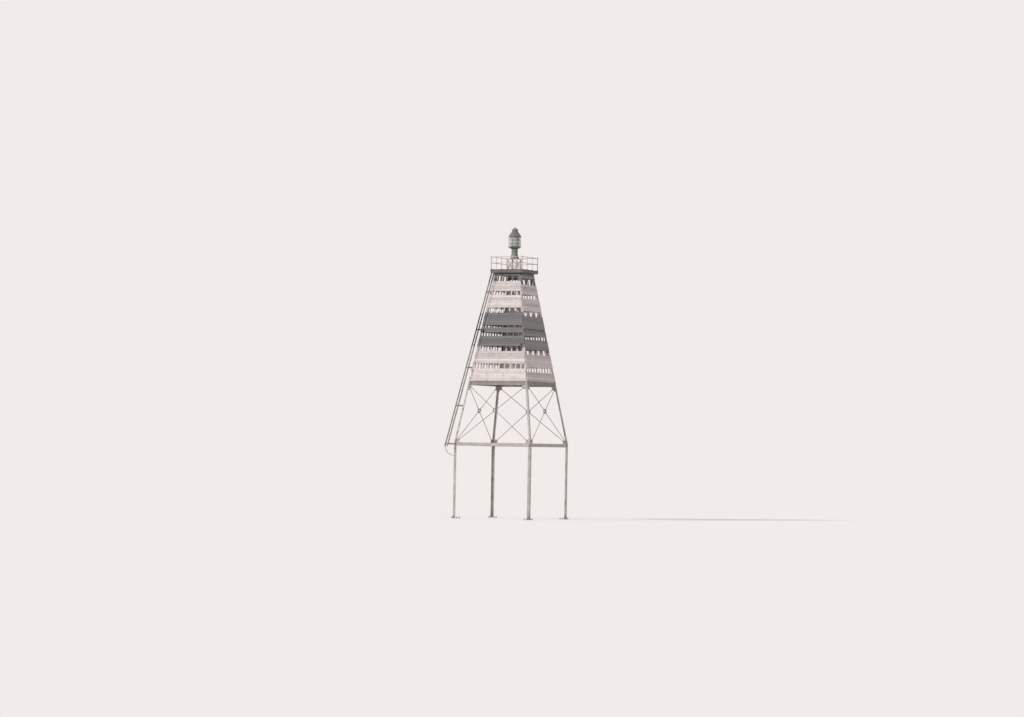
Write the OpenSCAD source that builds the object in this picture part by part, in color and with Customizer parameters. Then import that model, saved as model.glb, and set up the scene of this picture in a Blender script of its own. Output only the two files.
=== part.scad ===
// Four-legged skeleton light tower with a banded timber daymark, a railed gallery and a lantern.
// Origin at the middle of the base, on the ground. +Z is up, the front face looks along -Y,
// and the ladder climbs the front left corner (-X, -Y).

/* [Frame] */
// Distance between the outer faces of the posts
base_side = 3240; // [2800:10:3800]
// Height of the tops of the ring beams and posts
ring_height = 2885; // [2400:10:3200]
// Outer distance between the legs right under the gallery
top_side = 1100; // [900:10:1300]
// Height of the underside of the gallery
gallery_height = 9380; // [8800:10:10000]
// Leg length of the post angles
post_leg = 100; // [80:1:130]
// Thickness of the post angles
post_t = 10; // [8:0.5:14]
// Leg length of the inclined leg angles
leg_leg = 75; // [60:1:90]
// Thickness of the inclined leg angles
leg_t = 8; // [6:0.5:10]

/* [Base plates] */
// Side of a base plate
plate_side = 280; // [240:5:340]
// Thickness of a base plate
plate_t = 16; // [10:1:30]
// How far a base plate stands out past the post's corner
plate_lip = 60; // [40:1:90]
// Diameter of the anchor holes
anchor_d = 22; // [16:1:30]
// Distance from a plate's edge to an anchor hole
anchor_edge = 35; // [25:1:50]
// Height of the ribs that stiffen a base plate
rib_h = 90; // [60:5:140]
// Thickness of the ribs
rib_t = 10; // [6:1:14]
// Height that a rib keeps at its outer end
rib_heel = 14; // [6:1:20]

/* [Ring beams and sill beams] */
// Depth of a ring beam
ring_depth = 125; // [80:1:160]
// Width of a ring beam's top flange
ring_flange = 90; // [60:1:120]
// Thickness of a ring beam
ring_t = 10; // [6:0.5:14]
// Height of the tops of the sill beams, which carry the daymark
sill_height = 5222; // [4900:1:5600]
// Depth of a sill beam along the slope
sill_depth = 150; // [100:1:200]
// Width of a sill beam's inner flange
sill_flange = 80; // [60:1:110]
// Thickness of a sill beam
sill_t = 8; // [6:0.5:12]

/* [Cross ties] */
// Diameter of a tie rod
rod_d = 22; // [16:1:30]
// Outer diameter of a tension ring
tension_d = 180; // [150:2:240]
// Wall of a tension ring
tension_wall = 14; // [10:1:20]
// Width of a tension ring
tension_w = 50; // [40:1:70]
// Side of a gusset plate along its beam
gusset_w = 210; // [180:5:260]
// Side of a gusset plate along its leg
gusset_h = 190; // [160:5:240]
// Share of a gusset plate's height that its outer end keeps before it is cut back
gusset_heel = 0.35; // [0.2:0.05:0.6]
// Thickness of a gusset plate
gusset_t = 12; // [8:1:16]
// Diameter of the pins in the gusset plates
pin_d = 24; // [18:1:30]

/* [Daymark] */
// Thickness of the boards
board_t = 22; // [16:1:32]
// Open joint between two boards of a row
board_joint = 3; // [1:0.5:8]
// Boards in each row, from the bottom
row_boards = [5, 5, 4, 2, 5, 5, 4, 1];
// Gap above each row where boards are missing, from the bottom, in boards
row_gaps = [2, 2.1, 1.4, 0.9, 2.1, 1.7, 2.4, 0];
// Rows that are painted black, from the bottom, 1 for black
row_black = [0, 0, 1, 1, 1, 0, 0, 1];
// How much lower the rows lie on the right and back faces, in boards
row_drop = 1.3; // [0:0.1:1.6]
// Distance from the ends of the boards to the corner of the legs
board_inset = 12; // [8:1:40]
// Width of a batten behind the boards
batten_w = 45; // [30:1:60]
// Depth of a batten
batten_t = 30; // [20:1:40]
// Distance from batten to batten
batten_pitch = 232; // [180:1:320]
// Depth of the rails that carry the battens
rail_t = 25; // [15:1:40]
// Height of a rail
rail_h = 70; // [50:1:100]
// Depth of the joint between a rail and the battens
rail_joint = 10; // [5:1:20]
// Distance from the sill beams up to the lowest rail
rail_low = 120; // [60:5:200]
// Distance from the gallery down to the lower edge of the highest rail
rail_high = 95; // [80:5:400]
// Row of boards that hides the middle rail, from the bottom, the lowest being 0
rail_row = 3; // [1:1:5]
// Height of the middle rail above the foot of that row, in boards
rail_mid = 1.15; // [0.6:0.05:1.5]

/* [Gallery] */
// Side of the gallery
gallery_side = 1360; // [1240:10:1500]
// Depth of the gallery's edge channels
channel_h = 100; // [80:1:120]
// Flange width of the edge channels
channel_flange = 50; // [40:1:60]
// Thickness of the edge channels
channel_t = 8; // [6:0.5:10]
// Thickness of the gallery floor
floor_t = 30; // [20:1:45]
// Planks in the gallery floor
floor_planks = 10; // [6:1:14]
// Open joint between two planks
plank_joint = 5; // [2:0.5:10]
// Height of the top rail above the gallery floor
rail_height = 500; // [400:10:1100]
// Side of a railing post
rail_post = 28; // [20:1:40]
// Diameter of the railing's rails
rail_d = 20; // [16:1:30]
// Distance from the gallery's edge to the railing posts
rail_edge = 8; // [4:1:30]
// Diameter of the knobs on the corner posts
knob_d = 46; // [40:1:70]
// Side of the foot plates of the railing posts
rail_plate = 75; // [60:1:100]
// Thickness of the foot plates
rail_plate_t = 8; // [5:1:12]

/* [Lantern stand] */
// Side of the stand
stand_side = 400; // [380:5:460]
// Height of the stand
stand_h = 430; // [300:5:500]
// Leg length of the stand's corner angles
stand_angle = 40; // [30:1:50]
// Thickness of the stand's angles and braces
stand_t = 5; // [4:0.5:8]
// Thickness of the stand's top plate
stand_plate_t = 12; // [8:1:20]
// Width of the stand's crossed braces
brace_w = 26; // [20:1:40]

/* [Lantern] */
// Diameter of the lantern's foot flange
foot_d = 380; // [340:2:390]
// Diameter of the waist above the foot
waist_d = 236; // [200:2:260]
// Height from the foot flange to the lantern's body
pedestal_h = 440; // [380:5:500]
// Thickness of the foot flange
foot_rim = 22; // [16:1:30]
// Width of the step on the foot flange
foot_step = 14; // [8:1:20]
// Radius of the bead round the waist
bead_r = 9; // [5:0.5:14]
// How far the cup stays inside the lantern's body
cup_inset = 30; // [20:1:40]
// Height of the straight rim of the cup
cup_rim = 14; // [8:1:24]
// Outer diameter of the body's rings
body_d = 484; // [440:2:520]
// Height of the body, from ring to ring
body_h = 430; // [380:5:480]
// Height of each of the body's rings
body_ring_h = 34; // [24:1:44]
// How far the body's rings reach in over the lens
ring_lap = 20; // [10:1:30]
// Outer diameter of the drum lens
lens_d = 400; // [360:2:420]
// Thickness of the lens at its thickest
lens_t = 22; // [18:1:30]
// Depth of the steps between the lens's prisms
lens_step = 9; // [5:0.5:12]
// Prisms above the belt of the lens, and below it
prisms = 5; // [3:1:8]
// Share of the lens's height that the belt takes
belt_share = 0.22; // [0.15:0.01:0.4]
// Height of the roof
roof_h = 350; // [300:5:420]
// Diameter of the ventilator cap on the roof
cap_d = 236; // [200:2:260]
// How far the cap stands out past the cone
cap_lip = 12; // [8:1:20]
// Height of the cap's straight rim
cap_rim = 20; // [12:1:30]
// Height of the roof's straight eave
eave_h = 14; // [8:1:24]
// Share of the roof's height that the cone takes
cone_share = 0.56; // [0.4:0.01:0.7]
// Wall of the cast pedestal
casting_t = 10; // [6:1:16]
// Thickness of the roof's sheet
sheet_t = 6; // [3:0.5:10]
// Guard bars round the lens
guard_bars = 6; // [4:1:8]
// Diameter of a guard bar
guard_d = 16; // [12:1:20]
// Guard hoops round the lens
guard_hoops = 2; // [1:1:4]
// Diameter of the rod of a guard hoop
hoop_d = 9; // [6:0.5:12]
// Vents in the roof under its cap
roof_vents = 12; // [6:1:16]
// Diameter of a vent
vent_d = 24; // [12:1:30]

/* [Lamp and screen] */
// Thickness of the lamp table in the body's lower ring
table_t = 10; // [6:1:16]
// Air holes in the lamp table
air_holes = 6; // [3:1:8]
// Diameter of an air hole
air_hole_d = 56; // [40:2:60]
// Diameter of the lamp's foot
lamp_foot_d = 110; // [90:2:130]
// Diameter of the lamp's fount
fount_d = 104; // [80:2:130]
// Diameter of the burner's gallery, which carries the chimney
burner_d = 64; // [56:2:80]
// Diameter of the chimney at its ends
chimney_d = 44; // [36:1:50]
// Height of the chimney
chimney_h = 170; // [120:5:180]
// Thickness of the chimney's glass
chimney_t = 3; // [2:0.5:4]
// Height of the flame above the burner, up to the middle of the lens
flame_h = 30; // [20:1:40]
// Angle that the blanking screen covers
screen_angle = 190; // [60:5:240]
// Direction of the middle of the screen, from +X towards +Y
screen_turn = 27; // [0:1:359]
// Thickness of the screen
screen_t = 3; // [1.5:0.5:4]
// Room between the screen and the lens
screen_room = 8; // [4:1:12]

/* [Ladder] */
// Width between the middles of the stringers
ladder_w = 300; // [260:5:380]
// Depth of a stringer
stringer_w = 50; // [40:1:60]
// Thickness of a stringer
stringer_t = 10; // [8:1:14]
// Distance from rung to rung
rung_pitch = 300; // [250:5:330]
// Diameter of a rung
rung_d = 20; // [16:1:28]
// Height of the first rung above the lower end of the ladder
first_rung = 120; // [80:5:200]
// Height of the lower end of the ladder
ladder_foot = 2720; // [2500:10:3000]
// How far the ladder stands off the corner at its lower end
standoff_foot = 320; // [260:5:400]
// How far the ladder stands off the corner at its upper end
standoff_top = 85; // [70:1:120]
// Thickness of a ladder bracket
bracket_t = 10; // [8:1:14]
// Height of a ladder bracket
bracket_h = 60; // [40:5:80]
// Number of ladder brackets on the leg
bracket_count = 5; // [4:1:7]
// Width of the curved strap at the ladder's foot
strap_w = 50; // [30:5:60]
// Thickness of the curved strap
strap_t = 14; // [8:1:18]

/* [Hidden] */

steel_color = "#b9b4ae";
beam_color = "#83796f";
deck_edge_color = "#6a6361";
tie_color = "#98908d";
ladder_color = "#938b8a";
rail_color = "#d6cecb";
white_color = "#ded4d3";
black_color = "#5c5a5d";
stand_color = "#d7cac6";
lantern_color = "#676965";
glass_color = "#9fb4b0";
floor_color = "#5b5450";
brass_color = "#9c8445";

// Clearance between pieces that are fitted together
fit = 0.3;
// How far welded pieces run into each other
weld = 2;
// How far a cut reaches past the surface it opens
over = 1;

front = 0;
right = 90;
back = 180;
left = 270;

// The faces lean inwards by the same amount for every millimetre of height
lean = (base_side - top_side) / 2 / (gallery_height - ring_height);
tilt = atan(lean);
slope_length = (gallery_height - ring_height) / cos(tilt);
corner_tilt = atan(lean * sqrt(2));
corner_length = (gallery_height - ring_height) / cos(corner_tilt);
// Half of the angle between two neighbouring faces
half_corner = 90 - acos(pow(sin(tilt), 2)) / 2;

function half_at(v) = base_side / 2 - v * sin(tilt);
function slope_at(z) = (z - ring_height) / cos(tilt);
function corner_radius(z) = (base_side / 2 - max(0, z - ring_height) * lean) * sqrt(2);

sill_top = slope_at(sill_height);
// Middle of the gusset plates and ties, outwards from the plane of a face
tie_w = -leg_t + weld - gusset_t / 2;
pin_r = pin_d / 2;
// Room between a gusset plate and the other flange of its leg
gusset_gap = 10;
// Distance of a pin from the corner line and from the beam
pin_in = leg_leg + pin_d + 34;
pin_up = 70;
// Distance from a pin to the sheared end of its gusset plate
pin_edge = pin_r + 18;
// The cheeks of a fork, one on each side of its gusset plate
cheek_t = 8;
cheek_r = pin_r + 14;
fork_length = 90;
fork_w = 1.6 * cheek_r;
fork_room = 8;
pin_head = 6;
// The nut that holds a rod inside the tension ring, and the thread past it
rod_nut_h = 16;
rod_nut_r = 0.85 * rod_d;
thread_out = 4;

low_pin = [half_at(ring_t + pin_up) - pin_in, ring_t + pin_up];
high_pin_v = sill_top - sill_depth - fit - pin_up;
high_pin = [half_at(high_pin_v) - pin_in, high_pin_v];
// The ties cross at the tension ring
crossing = low_pin[1] + (high_pin[1] - low_pin[1]) * low_pin[0] / (low_pin[0] + high_pin[0]);

floor_bottom = gallery_height + channel_h;
floor_top = floor_bottom + floor_t;
stand_top = floor_top + stand_h;
body_bottom = stand_top + pedestal_h;
body_top = body_bottom + body_h;
eave_d = body_d - 8;
table_top = body_bottom + table_t;
// The top of the burner, above the lamp table
lamp_h = body_h / 2 - table_t - flame_h;
burner_top = 0.86 * lamp_h;

rail_side = gallery_side - 2 * rail_edge;

// Puts its children in the plane of a leaning face: x across, y up the slope, z outwards
module leaning_face(side) {
    rotate([0, 0, side])
        translate([0, -base_side / 2, ring_height])
            rotate([90 - tilt, 0, 0])
                children();
}

// The wedge of space that belongs to one face, up to the gallery
module face_sector(side, clearance) {
    reach = base_side;
    rotate([0, 0, side])
        linear_extrude(height = gallery_height)
            polygon([[0, -clearance * sqrt(2)], [reach, -reach - clearance * sqrt(2)],
                     [-reach, -reach - clearance * sqrt(2)]]);
}

module bolt_holes(side, edge, d, t) {
    for (x = [edge, side - edge], y = [edge, side - edge])
        translate([x, y, -over])
            cylinder(h = t + 2 * over, d = d, $fn = 48);
}

// A rib on the base plate, square to the flange that looks along -Y
module base_rib() {
    reach = plate_lip - 2 * fit;
    translate([(post_leg + rib_t) / 2, 0, plate_t - weld])
        rotate([90, 0, -90])
            linear_extrude(height = rib_t)
                polygon([[-weld, 0], [reach, 0], [reach, weld + rib_heel], [0, weld + rib_h],
                         [-weld, weld + rib_h]]);
}

// An angle post on its base plate, standing in the corner that looks along -X and -Y
module post(side) {
    corner = base_side / 2;
    color(steel_color)
        rotate([0, 0, side])
            translate([-corner, -corner, 0])
                union() {
                    difference() {
                        translate([-plate_lip, -plate_lip, 0])
                            cube([plate_side, plate_side, plate_t]);
                        translate([-plate_lip, -plate_lip, 0])
                            bolt_holes(plate_side, anchor_edge, anchor_d, plate_t);
                    }
                    cube([post_leg, post_t, ring_height]);
                    cube([post_t, post_leg, ring_height]);
                    base_rib();
                    mirror([1, -1, 0])
                        base_rib();
                }
}

// One bar of a ring beam, with mitred ends
module mitred_bar(depth_from, depth_to, z_from, z_to) {
    half = base_side / 2 - fit;
    translate([0, -base_side / 2, z_from])
        linear_extrude(height = z_to - z_from)
            polygon([[-half + depth_from, depth_from], [half - depth_from, depth_from],
                     [half - depth_to, depth_to], [-half + depth_to, depth_to]]);
}

module ring_beam(side) {
    color(steel_color)
        rotate([0, 0, side])
            union() {
                mitred_bar(post_t, post_t + ring_t, ring_height - ring_depth, ring_height);
                mitred_bar(post_t, post_t + ring_flange, ring_height - ring_t, ring_height);
            }
}

// The outline of a leg angle whose two flanges lie in the planes of two leaning faces
module leg_outline() {
    along = [-cos(half_corner), sin(half_corner)];
    inwards = [-sin(half_corner), -cos(half_corner)];
    tip = leg_leg * along;
    inner_tip = tip + leg_t * inwards;
    polygon([[0, 0], tip, inner_tip, [-leg_t / sin(half_corner), 0],
             [inner_tip[0], -inner_tip[1]], [tip[0], -tip[1]]]);
}

module leg_angle() {
    intersection() {
        translate([base_side / sqrt(2), 0, ring_height])
            rotate([0, -corner_tilt, 0])
                translate([0, 0, -post_leg])
                    linear_extrude(height = corner_length + 2 * post_leg)
                        leg_outline();
        translate([0, -base_side / 2, ring_height])
            cube([base_side, base_side, gallery_height - ring_height]);
    }
}

// A gusset plate at the end of a leaning face, seen from outside at its right end,
// sheared square across the tie that is pinned to it
module gusset_outline(v, rise, pin) {
    edge = leg_t + gusset_gap;
    corner = half_at(v) - edge;
    far_corner = half_at(v + rise) - edge;
    difference() {
        polygon([[corner, v], [corner - gusset_w, v], [corner - gusset_w, v + rise * gusset_heel],
                 [far_corner - leg_leg, v + rise], [far_corner, v + rise]]);
        translate(pin) {
            circle(r = pin_r + fit, $fn = 48);
            rotate(atan2(crossing - pin[1], -pin[0]))
                translate([pin_edge, -gusset_w])
                    square([gusset_w, 2 * gusset_w]);
        }
    }
}

module gussets(mirrored) {
    mirror([mirrored, 0, 0])
        translate([0, 0, tie_w - gusset_t / 2])
            linear_extrude(height = gusset_t) {
                gusset_outline(ring_t, gusset_h, low_pin);
                gusset_outline(sill_top - sill_depth - fit, -gusset_h, high_pin);
            }
}

// The leg between the face at this side, at its right end, and the next face round
module leg(side) {
    color(steel_color)
        union() {
            rotate([0, 0, side - 45])
                leg_angle();
            leaning_face(side)
                gussets(0);
            leaning_face(side + 90)
                gussets(1);
        }
}

// A tie rod along +X from the tension ring to a fork with its pin
module tie(length) {
    // The ring's wall curves away from the flat face of the nut
    nut_face = tension_d / 2 - tension_wall - thread_out;
    rod_start = nut_face - rod_nut_h - thread_out;
    slot_t = gusset_t + 2 * fit;
    fork_t = slot_t + 2 * cheek_t;
    slot_start = length - pin_edge - fork_room;
    pin_length = fork_t + 2 * (pin_head - fit);
    rotate([0, 90, 0]) {
        translate([0, 0, rod_start])
            cylinder(h = length - fork_length - rod_start + weld, d = rod_d, $fn = 32);
        translate([0, 0, nut_face - rod_nut_h])
            cylinder(h = rod_nut_h, r = rod_nut_r, $fn = 6);
    }
    difference() {
        union() {
            translate([length, 0, -fork_t / 2])
                cylinder(h = fork_t, r = cheek_r, $fn = 48);
            translate([length - fork_length, -fork_w / 2, -fork_t / 2])
                cube([fork_length, fork_w, fork_t]);
        }
        translate([slot_start, -cheek_r - over, -slot_t / 2])
            cube([fork_length + cheek_r, 2 * (cheek_r + over), slot_t]);
    }
    translate([length, 0, -pin_length / 2])
        cylinder(h = pin_length, r = pin_r, $fn = 48);
}

module tie_to(target) {
    run = target - [0, crossing];
    translate([0, crossing, tie_w])
        rotate([0, 0, atan2(run[1], run[0])])
            tie(norm(run));
}

module tension_ring() {
    targets = [low_pin, high_pin, [-low_pin[0], low_pin[1]], [-high_pin[0], high_pin[1]]];
    difference() {
        translate([0, crossing, tie_w - tension_w / 2])
            difference() {
                cylinder(h = tension_w, d = tension_d, $fn = 96);
                translate([0, 0, -over])
                    cylinder(h = tension_w + 2 * over, d = tension_d - 2 * tension_wall, $fn = 96);
            }
        for (target = targets) {
            run = target - [0, crossing];
            translate([0, crossing, tie_w])
                rotate([0, 0, atan2(run[1], run[0])])
                    rotate([0, 90, 0])
                        cylinder(h = tension_d, d = rod_d + 2 * fit, $fn = 32);
        }
    }
}

module cross_ties(side) {
    color(tie_color)
        leaning_face(side) {
            tie_to(low_pin);
            tie_to(high_pin);
            tie_to([-low_pin[0], low_pin[1]]);
            tie_to([-high_pin[0], high_pin[1]]);
            tension_ring();
        }
}

module sill_beam(side) {
    v = sill_top - sill_depth;
    reach = base_side;
    color(beam_color)
        intersection() {
            leaning_face(side)
                union() {
                    translate([-reach / 2, v, -leg_t - sill_t])
                        cube([reach, sill_depth, sill_t]);
                    translate([-reach / 2, sill_top - sill_t, -leg_t - sill_flange])
                        cube([reach, sill_t, sill_flange]);
                }
            face_sector(side, fit);
        }
}

// The part of a face that lies between the legs' flanges
module clear_of_legs() {
    keep = leg_leg + 10 * fit;
    polygon([[-half_at(sill_top) + keep, sill_top], [half_at(sill_top) - keep, sill_top],
             [half_at(slope_length) - keep, slope_length],
             [-half_at(slope_length) + keep, slope_length]]);
}

function sum_to(list, n) = n <= 0 ? 0 : list[n - 1] + sum_to(list, n - 1);

// The rows and the gaps between them fill the daymark from the sill to the gallery
rows = len(row_boards);
rows_bottom = sill_height + sill_t;
board_pitch = (gallery_height - rows_bottom) / (sum_to(row_boards, rows) + sum_to(row_gaps, rows));

// Lower edge of a row of boards, as a height above the ground
function row_bottom(i) = rows_bottom + (sum_to(row_boards, i) + sum_to(row_gaps, i)) * board_pitch;

// Heights, up the slope, of the rails that carry the battens
middle_rail = slope_at(row_bottom(rail_row) + rail_mid * board_pitch) - rail_h / 2;
rail_levels = [sill_top + rail_low, middle_rail, slope_length - rail_high];

module batten_frame(side) {
    count = floor(half_at(sill_top) / batten_pitch);
    color(white_color)
        intersection() {
            leaning_face(side)
                union() {
                    translate([0, 0, -batten_t])
                        linear_extrude(height = batten_t)
                            intersection() {
                                clear_of_legs();
                                for (i = [-count : count])
                                    translate([i * batten_pitch - batten_w / 2, sill_top])
                                        square([batten_w, slope_length]);
                            }
                    for (v = rail_levels)
                        translate([-base_side / 2, v, rail_joint - batten_t - rail_t])
                            cube([base_side, rail_h, rail_t]);
                }
            face_sector(side, fit);
        }
}

// One board between two heights, cut to the slope of the legs
module board(z_low, z_high) {
    v_low = slope_at(z_low);
    v_high = slope_at(z_high);
    polygon([[-half_at(v_low) + board_inset, v_low], [half_at(v_low) - board_inset, v_low],
             [half_at(v_high) - board_inset, v_high], [-half_at(v_high) + board_inset, v_high]]);
}

// One row of boards, lower than the front's by a number of boards. The sill cuts off what would
// lie below it, and the top row goes on up to the gallery
module row_of_boards(i, drop) {
    row_low = row_bottom(i) - drop * board_pitch;
    top_row = i == rows - 1;
    last = row_boards[i] - 1 + (top_row ? ceil(drop) : 0);
    for (k = [0 : last]) {
        z_low = max(row_low + k * board_pitch, rows_bottom);
        z_high = row_low + (k + 1) * board_pitch - board_joint;
        if (z_high > z_low + board_joint)
            board(z_low, top_row && k == last ? gallery_height + board_t : z_high);
    }
}

module boards(side, black, drop) {
    color(black == 1 ? black_color : white_color)
        intersection() {
            leaning_face(side)
                linear_extrude(height = board_t)
                    for (i = [0 : rows - 1])
                        if (row_black[i] == black)
                            row_of_boards(i, drop);
            translate([-base_side, -base_side, 0])
                cube([2 * base_side, 2 * base_side, gallery_height]);
        }
}

// A channel on two of the legs, with its flanges inwards
module bearer(length) {
    outer = top_side / 2;
    translate([outer - leg_leg, -length / 2, 0])
        difference() {
            cube([leg_leg, length, channel_h]);
            translate([-over, -over, channel_t])
                cube([leg_leg - channel_t + over, length + 2 * over, channel_h - 2 * channel_t]);
        }
}

// A square ring of edge channels with their flanges inwards, and two bearers on the legs
module gallery_frame() {
    half = gallery_side / 2;
    inner = half - channel_t;
    mouth = half - channel_flange;
    color(deck_edge_color)
        translate([0, 0, gallery_height])
            union() {
                difference() {
                    translate([-half, -half, 0])
                        cube([gallery_side, gallery_side, channel_h]);
                    translate([-mouth, -mouth, -over])
                        cube([2 * mouth, 2 * mouth, channel_h + 2 * over]);
                    translate([-inner, -inner, channel_t])
                        cube([2 * inner, 2 * inner, channel_h - 2 * channel_t]);
                }
                for (way = [0, 1])
                    mirror([way, 0, 0])
                        bearer(2 * inner + weld);
            }
}

// Planks side by side, from the front edge channel to the back one
module gallery_floor() {
    half = gallery_side / 2;
    pitch = (gallery_side + plank_joint) / floor_planks;
    color(floor_color)
        for (i = [0 : floor_planks - 1])
            translate([i * pitch - half, -half, floor_bottom])
                cube([pitch - plank_joint, gallery_side, floor_t]);
}

// The foot plate of a railing post whose middle lies at x, near the edge of the gallery
module foot_plate(x) {
    translate([max(x - rail_plate / 2, -rail_edge / 2), -rail_edge / 2, 0])
        cube([rail_plate, rail_plate, rail_plate_t]);
}

// One side of the railing, with the corner post at its left end
module railing(side) {
    post_gap = (rail_side - rail_post) / 3;
    middle = rail_post / 2;
    slim_post = rail_post / 2;
    color(rail_color)
        rotate([0, 0, side])
            translate([-rail_side / 2, -rail_side / 2, floor_top])
                union() {
                    cube([rail_post, rail_post, rail_height]);
                    translate([middle, middle, rail_height])
                        sphere(d = knob_d, $fn = 32);
                    foot_plate(middle);
                    for (i = [1, 2]) {
                        foot_plate(i * post_gap + middle);
                        translate([i * post_gap + middle - slim_post / 2, middle - slim_post / 2, 0])
                            cube([slim_post, slim_post, rail_height - rail_d / 2]);
                    }
                    for (z = [rail_height / 2, rail_height - rail_d])
                        translate([middle, middle, z])
                            rotate([0, 90, 0])
                                cylinder(h = rail_side - rail_post - middle - fit, d = rail_d, $fn = 24);
                }
}

// One braced side of the stand, seen from outside, in the plane of its angles
module stand_brace() {
    rise = stand_h - 2 * stand_angle;
    run = stand_side - stand_angle;
    length = norm([rise, run]);
    for (way = [-1, 1])
        translate([0, stand_t - stand_side / 2, stand_h / 2])
            rotate([0, way * atan2(rise, run), 0])
                translate([-length / 2, 0, -brace_w / 2])
                    cube([length, stand_t, brace_w]);
}

module lantern_stand() {
    half = stand_side / 2;
    corner_h = stand_h - stand_plate_t + weld;
    color(stand_color)
        translate([0, 0, floor_top])
            union() {
                for (side = [front, right, back, left])
                    rotate([0, 0, side]) {
                        translate([-half, -half, 0])
                            cube([stand_angle, stand_t, corner_h]);
                        translate([-half, -half, 0])
                            cube([stand_t, stand_angle, corner_h]);
                        translate([-half, -half, 0])
                            cube([stand_side, stand_t, stand_angle]);
                        stand_brace();
                    }
                translate([-half, -half, stand_h - stand_plate_t])
                    cube([stand_side, stand_side, stand_plate_t]);
            }
}

// Points along a quarter of an ellipse, from one place to another
function quarter(from, to, steps) =
    [for (i = [0 : steps]) let (a = 90 * i / steps)
        [to[0] + (from[0] - to[0]) * cos(a), from[1] + (to[1] - from[1]) * sin(a)]];

// Points round the outer half of a circle
function half_circle(middle, r) =
    [for (a = [-90 : 22.5 : 90]) [middle[0] + r * cos(a), middle[1] + r * sin(a)]];

// The pedestal's outline, drawn in by a wall: a flared foot, a straight waist and a cup.
// Only the outside has the bead
function pedestal_outline(wall) =
    let (foot = foot_d / 2 - wall,
         flare = foot - foot_step - casting_t,
         flare_bottom = foot_rim + casting_t,
         waist = waist_d / 2 - wall,
         waist_bottom = pedestal_h * 0.58,
         waist_top = pedestal_h * 0.82,
         cup = body_d / 2 - cup_inset - wall)
    concat([[foot, 0], [foot, foot_rim], [foot - foot_step, foot_rim + casting_t / 2]],
           [for (i = [0 : 10]) let (t = i / 10)
               [waist + (flare - waist) * pow(1 - t, 1.7),
                flare_bottom + (waist_bottom - flare_bottom) * t]],
           wall > 0 ? [] : half_circle([waist, (waist_bottom + waist_top) / 2], bead_r),
           [[waist, waist_top]],
           quarter([waist, waist_top], [cup, pedestal_h - cup_rim], 8),
           [[cup, pedestal_h]]);

module lantern_pedestal() {
    mouth = foot_d / 2 - foot_step - 2 * casting_t;
    color(lantern_color)
        translate([0, 0, stand_top])
            difference() {
                rotate_extrude($fn = 96)
                    polygon(concat([[0, 0]], pedestal_outline(0), [[0, pedestal_h]]));
                rotate_extrude($fn = 96)
                    polygon(concat([[0, -over], [mouth, -over]],
                                   pedestal_outline(2 * casting_t), [[0, pedestal_h]]));
            }
}

module cage_ring(z) {
    translate([0, 0, z])
        difference() {
            cylinder(h = body_ring_h, d = body_d, $fn = 96);
            translate([0, 0, -over])
                cylinder(h = body_ring_h + 2 * over, d = lens_d - 2 * ring_lap, $fn = 96);
        }
}

// The floor of the body: a disc with a circle of air holes round the lamp's foot
module lamp_table() {
    table_r = lens_d / 2 - ring_lap + weld;
    holes_r = (lamp_foot_d / 2 + lens_d / 2 - lens_t - screen_room - screen_t) / 2;
    difference() {
        cylinder(h = table_t, r = table_r, $fn = 96);
        for (i = [0 : air_holes - 1])
            rotate([0, 0, i * 360 / air_holes])
                translate([holes_r, 0, -over])
                    cylinder(h = table_t + 2 * over, d = air_hole_d, $fn = 48);
    }
}

module lantern_cage() {
    circle_r = body_d / 2 - guard_d;
    color(lantern_color)
        translate([0, 0, body_bottom])
            union() {
                cage_ring(0);
                cage_ring(body_h - body_ring_h);
                lamp_table();
                for (j = [1 : guard_hoops])
                    translate([0, 0, j * body_h / (guard_hoops + 1)])
                        rotate_extrude($fn = 96)
                            translate([circle_r, 0])
                                circle(d = hoop_d, $fn = 24);
                for (i = [0 : guard_bars - 1])
                    rotate([0, 0, (i + 0.5) * 360 / guard_bars])
                        translate([circle_r, 0, body_ring_h - weld])
                            cylinder(h = body_h - 2 * body_ring_h + 2 * weld, d = guard_d, $fn = 24);
            }
}

// The drum lens: a round belt in the middle and stepped prisms above and below it
module lantern_lens() {
    height = body_h - 2 * body_ring_h;
    belt = height * belt_share;
    pitch = (height - belt) / 2 / prisms;
    lip = pitch / 20;
    outer = lens_d / 2;
    root = outer - lens_step;
    lower = [for (i = [0 : prisms - 1]) each
        [[root, i * pitch], [outer, (i + 1) * pitch - lip], [root, (i + 1) * pitch]]];
    upper = [for (i = [prisms - 1 : -1 : 0]) each
        [[root, height - (i + 1) * pitch], [outer, height - (i + 1) * pitch + lip],
         [root, height - i * pitch]]];
    bulge = [for (i = [0 : 8]) let (a = -90 + 180 * i / 8)
        [root + lens_step * cos(a), height / 2 + belt / 2 * sin(a)]];
    color(glass_color)
        translate([0, 0, body_bottom + body_ring_h])
            rotate_extrude($fn = 96)
                polygon(concat([[outer - lens_t, 0]], lower, bulge, upper, [[outer - lens_t, height]]));
}

// The roof's outline, drawn in by a wall: an eave, a hollow cone and a domed cap that stands
// out past the cone by a lip
function roof_outline(wall, lip) =
    let (eave = eave_d / 2 - wall,
         drip = eave - sheet_t,
         throat = cap_d / 2 - cap_lip - wall,
         cap = throat + lip,
         cone_bottom = eave_h + sheet_t,
         shoulder = roof_h * cone_share - wall,
         rim_top = shoulder + sheet_t + cap_rim,
         crown = roof_h - wall)
    concat([[eave, 0], [eave, eave_h]],
           [for (i = [0 : 10]) let (t = i / 10)
               [throat + (drip - throat) * pow(1 - t, 1.15), cone_bottom + (shoulder - cone_bottom) * t]],
           [[cap, shoulder + sheet_t], [cap, rim_top]],
           [for (i = [1 : 10]) let (a = 9 * i)
               [cap * cos(a), rim_top + (crown - rim_top) * sin(a)]]);

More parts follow.
